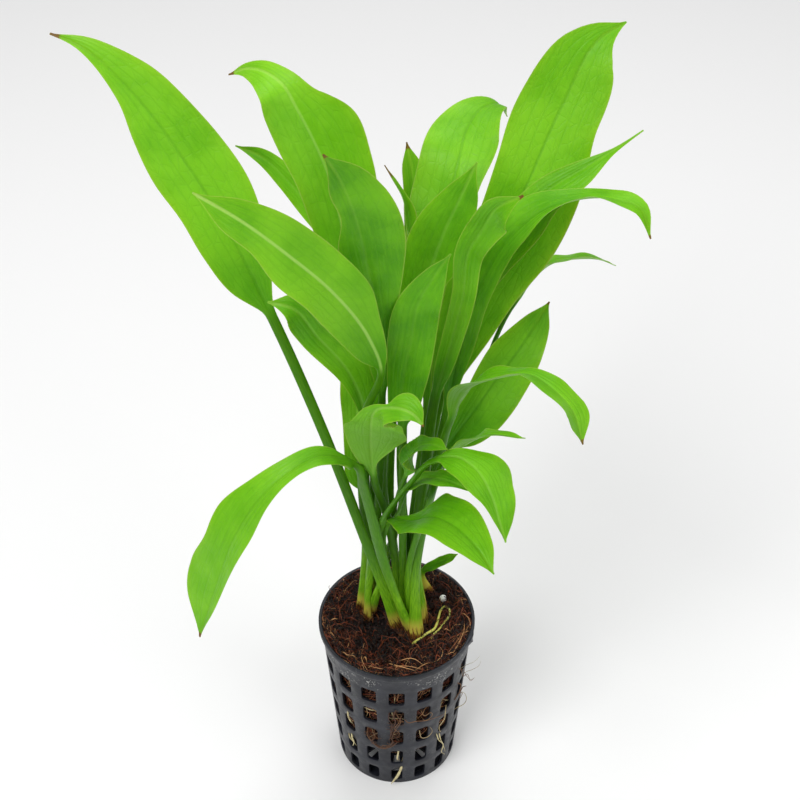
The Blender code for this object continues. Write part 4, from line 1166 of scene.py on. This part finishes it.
# roots that have grown out through the holes: points, radius, shade; the tangled ones come first
OUTER_ROOTS = (
    (((0.2, -23.2, 45.0), (-0.9, -24.6, 44.1), (-0.4, -24.5, 39.4), (-1.4, -24.3, 35.5),
      (-1.9, -23.9, 30.6), (-0.9, -23.7, 26.8), (0.2, -22.2, 24.6)), 0.19, 0.30),
    (((-1.0, -22.6, 43.0), (0.4, -24.6, 42.6), (1.3, -24.5, 39.8), (0.0, -24.4, 36.0),
      (-1.0, -24.2, 33.0), (-1.6, -23.9, 29.0), (-1.2, -23.4, 25.4)), 0.15, 0.45),
    (((-2.2, -23.0, 44.0), (-2.7, -24.4, 41.6), (-1.5, -24.6, 38.0), (-2.1, -24.2, 33.5),
      (-0.6, -24.0, 30.5), (0.4, -23.4, 28.4)), 0.13, 0.20),
    (((1.6, -23.0, 41.0), (0.6, -24.6, 39.0), (-0.6, -24.7, 36.6), (0.9, -24.2, 33.0),
      (0.6, -23.4, 30.0)), 0.12, 0.60),
    (((0.0, -23.2, 26.6), (-1.5, -23.5, 25.0), (-3.6, -23.2, 23.7), (-6.4, -22.5, 23.7),
      (-8.5, -21.9, 25.2), (-9.2, -21.6, 28.0), (-9.9, -20.6, 29.6)), 0.20, 0.30),
    (((-1.2, -23.2, 27.4), (-2.6, -23.5, 24.8), (-5.0, -23.1, 23.1), (-7.4, -22.4, 24.3),
      (-8.2, -21.8, 27.0), (-7.6, -20.6, 29.6)), 0.13, 0.42),
    (((-9.6, -19.6, 31.0), (-9.9, -21.5, 28.4), (-8.6, -22.2, 26.6), (-7.2, -22.2, 28.4),
      (-8.6, -20.6, 30.6)), 0.13, 0.50),
    (((2.6, -23.0, 39.2), (3.6, -24.0, 38.7), (6.5, -23.4, 38.5), (9.8, -22.2, 37.3),
      (12.5, -20.6, 36.5), (15.2, -18.5, 35.3), (17.2, -16.0, 34.6)), 0.13, 0.55),
    (((8.0, -21.4, 41.6), (9.2, -22.6, 40.4), (11.2, -21.9, 41.2), (11.6, -21.2, 38.2),
      (9.4, -22.2, 37.4), (7.9, -21.4, 38.6)), 0.12, 0.80),
    (((7.6, -21.0, 30.4), (8.4, -22.4, 28.2), (10.4, -21.6, 27.6), (12.0, -20.4, 29.2),
      (11.0, -19.8, 31.0)), 0.15, 0.86),
    (((16.6, -15.4, 36.8), (16.3, -17.6, 35.0), (15.9, -17.6, 31.4), (14.5, -18.8, 30.0),
      (14.8, -18.2, 26.0), (15.2, -16.4, 24.4)), 0.18, 0.88),
    (((14.2, -16.2, 24.0), (15.0, -17.6, 20.8), (16.0, -16.2, 14.9), (15.5, -16.3, 12.3),
      (16.7, -14.6, 8.2)), 0.22, 1.0),
    (((13.2, -16.8, 24.6), (14.1, -18.5, 22.4), (15.6, -16.8, 17.6), (16.9, -14.3, 9.4)), 0.18, 0.98),
    (((2.6, -18.0, 12.0), (1.3, -21.6, 9.0), (0.1, -22.1, 6.0), (-1.0, -22.0, 3.3),
      (-2.0, -21.9, 1.0)), 0.45, 1.0),
    (((1.8, -18.4, 9.6), (1.0, -21.8, 7.4), (-0.2, -22.0, 4.4), (-1.2, -21.6, 2.4)), 0.30, 0.97),
    (((0.4, -18.6, 24.0), (0.6, -21.0, 19.6), (0.2, -21.6, 15.2), (0.9, -20.0, 12.4)), 0.34, 0.97),
    (((-16.6, -15.0, 34.6), (-16.4, -16.6, 32.6), (-15.6, -16.7, 29.6), (-14.9, -15.6, 27.0)), 0.30, 0.96),
    (((-15.4, -14.6, 22.0), (-15.4, -16.2, 20.2), (-14.8, -16.4, 18.0), (-15.2, -15.6, 14.4)), 0.32, 0.98),
    (((-16.6, -13.4, 20.6), (-16.2, -15.2, 18.8), (-14.6, -16.0, 16.8), (-14.0, -15.4, 14.0)), 0.20, 0.94),
    (((20.4, -12.6, 52.4), (21.6, -11.4, 50.0), (22.4, -11.0, 46.6), (23.4, -11.0, 47.6),
      (24.9, -11.0, 44.1), (26.2, -11.0, 45.9)), 0.10, 0.70),
    (((19.6, -10.0, 27.2), (20.9, -9.2, 27.5), (22.2, -9.0, 28.1), (23.6, -9.0, 30.2),
      (23.2, -9.0, 34.7), (22.0, -9.2, 36.4)), 0.13, 0.88),
    (((19.6, -12.4, 35.6), (20.9, -10.6, 36.6), (21.8, -10.0, 37.9), (22.6, -10.0, 39.8),
      (23.6, -10.0, 40.1)), 0.20, 0.48),
    (((20.2, -12.2, 44.6), (21.6, -11.0, 42.0), (21.2, -11.2, 38.4), (22.4, -8.0, 33.4),
      (21.2, -8.6, 30.0)), 0.16, 0.72),
    (((20.4, -13.0, 53.0), (21.9, -12.0, 51.3), (23.4, -12.0, 47.7), (24.8, -12.0, 45.9),
      (26.0, -12.0, 46.9)), 0.09, 0.74),
    (((21.4, -8.0, 42.0), (23.4, -6.0, 42.5), (25.7, -6.0, 43.9), (27.7, -6.0, 45.9),
      (28.4, -6.0, 48.6)), 0.08, 0.86),
    (((21.2, -9.0, 48.0), (23.5, -8.0, 48.8), (25.9, -8.0, 50.4), (27.8, -8.0, 53.6)), 0.07, 0.90),
)


def make_outer_roots(material, rng):
    """Roots that have grown out of the holes, along their own routes, and short ends in many other holes."""
    roots = Strands()
    for route, radius, shade in OUTER_ROOTS:
        roots.add(curve_path(route, 8 * len(route)), radius, shade)
    for route, _, _ in roots.tubes[:TANGLED_ROOTS]:
        for _ in range(FIBRES_ON_ROOT):
            x, y, z = route[rng.integers(2, len(route) - 3)]
            heading = rng.normal(-0.5 * math.pi, 1.3)
            length = rng.uniform(1.5, 4.2)
            bend = rng.normal(0.0, 0.7)
            path = []
            for k in range(7):
                path.append((x, y, z))
                x += length / 6.0 * math.cos(heading)
                z += length / 6.0 * math.sin(heading)
                y = -math.sqrt(max(1.0, (wall_radius(z) + 0.25 + 0.1 * k) ** 2 - x * x))
                heading += bend
            roots.add(path, rng.uniform(0.05, 0.09), rng.random() * 0.75)
    for _ in range(ROOT_ENDS):
        column = rng.integers(0, HOLE_COLUMNS)
        row = rng.integers(2, len(HOLE_ROWS))
        a = column * math.tau / HOLE_COLUMNS - 0.5 * math.pi + rng.normal(0.0, 0.04)
        z = HOLE_ROWS[row][0] + rng.uniform(1.5, 5.5)
        r = wall_radius(z) - WALL - 0.8
        reach = rng.uniform(0.4, 1.5)
        drift = rng.normal(0.0, 0.07)
        path = [polar(r + reach * t, a + drift * t, z + 1.2 * math.sin(2.0 * t + column))
                for t in (k / 6.0 for k in range(7))]
        roots.add(path, rng.uniform(0.05, 0.13), rng.random())
    roots.build("outer_roots", material, 6)


def make_surface_root(material):
    """The looping root, with a slightly uneven thickness and drawn-in ends."""
    line = smooth_curve(ROOT_ROUTE, 8)
    sides, last = 12, len(line) - 1
    points = []
    for i, p in enumerate(line):
        ahead = line[min(i + 1, last)] - line[max(i - 1, 0)]
        first = ahead.cross(Vector((0.0, 0.0, 1.0))).normalized()
        second = first.cross(ahead).normalized()
        radius = ROOT_RADIUS * (0.92 - 0.30 * i / last) * (1.0 + 0.06 * math.sin(0.7 * i))
        if i in (0, last):
            radius *= 0.4
        for k in range(sides):
            a = math.tau * k / sides
            points.append(p + radius * (math.cos(a) * first + math.sin(a) * second))
    obj = new_object("surface_root_fine", points, loft_faces(len(line), sides), material)
    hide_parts("surface_root")


# Pellet and crowns

def make_pellet(material):
    x, y = PELLET_PLACE
    centre = Vector((x, y, soil_height(x, y) + PELLET_RADIUS + 0.3))
    rows, columns = 20, 32
    rings = []
    for i in range(1, rows):
        t = math.pi * i / rows
        ways = [Vector(polar(math.sin(t), math.tau * k / columns, math.cos(t))) for k in range(columns)]
        rings.append([centre + way * PELLET_RADIUS * (1.0 + 0.05 * noise.noise(2.0 * way)) for way in ways])
    pole = Vector((0.0, 0.0, PELLET_RADIUS))
    obj = closed_skin("white_pellet_fine", rings, centre + pole, centre - pole, material)
    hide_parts("white_pellet")


def make_crown(name, material):
    """The stem's top, rough and rounded off, narrowing below."""
    x, y, half_width, half_depth = CROWNS[name]
    top, bottom = CROWN_TOP + CROWN_LIFT, CROWN_TOP - CROWN_DEPTH
    sides, steps = 48, 14

    def outline(share):
        ways = [polar(share, math.tau * k / sides, 0.0) for k in range(sides)]
        return [(x + half_width * u, y + half_depth * v) for u, v, _ in ways]

    rings = []
    for share in (i / steps for i in range(1, steps + 1)):
        edge = top - CROWN_ROUNDING * share ** 6
        rings.append([(px, py, edge + CROWN_RELIEF * noise.noise(Vector((px, py, 2.0))))
                      for px, py in outline(share)])
    rings.append([(px, py, bottom) for px, py in outline(CROWN_FOOT)])
    obj = closed_skin(name + "_fine", rings, (x, y, top), (x, y, bottom), material)
    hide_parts(name)


# Stage

FLOOR_REACH = 4.0
FLOOR_DROP = 0.0001
AIM = Vector((0.0, 0.0, 0.13))

# place in metres, size in metres, power in watts
LAMPS = {
    "key_light": ((-0.50, -0.60, 1.15), 0.7, 12.0),
    "fill_light": ((0.85, -0.55, 0.80), 0.8, 3.6),
    "top_light": ((0.10, 0.45, 1.20), 0.8, 6.5),
}
WORLD_LIGHT = 0.30
CAMERA_PLACE = (0.0011, -0.320, 0.432)
CAMERA_TILT = 49.5
CAMERA_LENS = 65.25


def make_stage():
    s = Shader("floor")
    s.set(Base_Color=(0.86, 0.86, 0.86), Roughness=0.85)
    floor = bpy.data.meshes.new("floor")
    corners = [(u * FLOOR_REACH, v * FLOOR_REACH, 0.0) for u, v in ((-1, -1), (1, -1), (1, 1), (-1, 1))]
    floor.from_pydata(corners, [], [(0, 1, 2, 3)])
    floor.materials.append(s.material)
    obj = bpy.data.objects.new("floor", floor)
    obj.location.z = -FLOOR_DROP
    bpy.context.scene.collection.objects.link(obj)

    world = bpy.data.worlds.new("studio")
    world.use_nodes = True
    background = world.node_tree.nodes["Background"].inputs
    background["Color"].default_value = (1.0, 1.0, 1.0, 1.0)
    background["Strength"].default_value = WORLD_LIGHT
    bpy.context.scene.world = world
    bpy.context.scene.view_settings.view_transform = "Standard"
    for name, (place, size, power) in LAMPS.items():
        lamp = bpy.data.lights.new(name, "AREA")
        lamp.size = size
        lamp.energy = power
        obj = bpy.data.objects.new(name, lamp)
        obj.location = place
        obj.rotation_euler = (AIM - Vector(place)).to_track_quat("-Z", "Y").to_euler()
        bpy.context.scene.collection.objects.link(obj)


def make_camera():
    lens = bpy.data.cameras.new("camera")
    lens.lens = CAMERA_LENS
    lens.sensor_width = 36.0
    obj = bpy.data.objects.new("camera", lens)
    obj.location = CAMERA_PLACE
    obj.rotation_euler = (math.radians(CAMERA_TILT), 0.0, 0.0)
    bpy.context.scene.collection.objects.link(obj)
    bpy.context.scene.camera = obj


def main():
    rng = np.random.default_rng(7)
    make_camera()
    feet = [make_leaf(name, leaf, seed) for seed, (name, leaf) in enumerate(LEAVES.items())]
    make_pot(plastic_material())
    make_plug(coir_material())
    fibres = fibre_material("coir_fibre", *COIR_FIBRE)
    grains = fibre_material("soil_crumb", *SOIL_CRUMB)
    roots = fibre_material("fine_root", *FINE_ROOT)
    make_top_fibres(fibres, rng)
    make_side_fibres(fibres, rng)
    make_grains(grains, rng)
    make_roots(roots, rng)
    make_outer_roots(roots, rng)
    make_foot_fibres(fibre_material("old_sheath", *OLD_SHEATH), rng, feet)
    make_surface_root(root_material())
    make_pellet(pellet_material())
    stem = crown_material()
    for name in CROWNS:
        make_crown(name, stem)
    make_stage()


main()
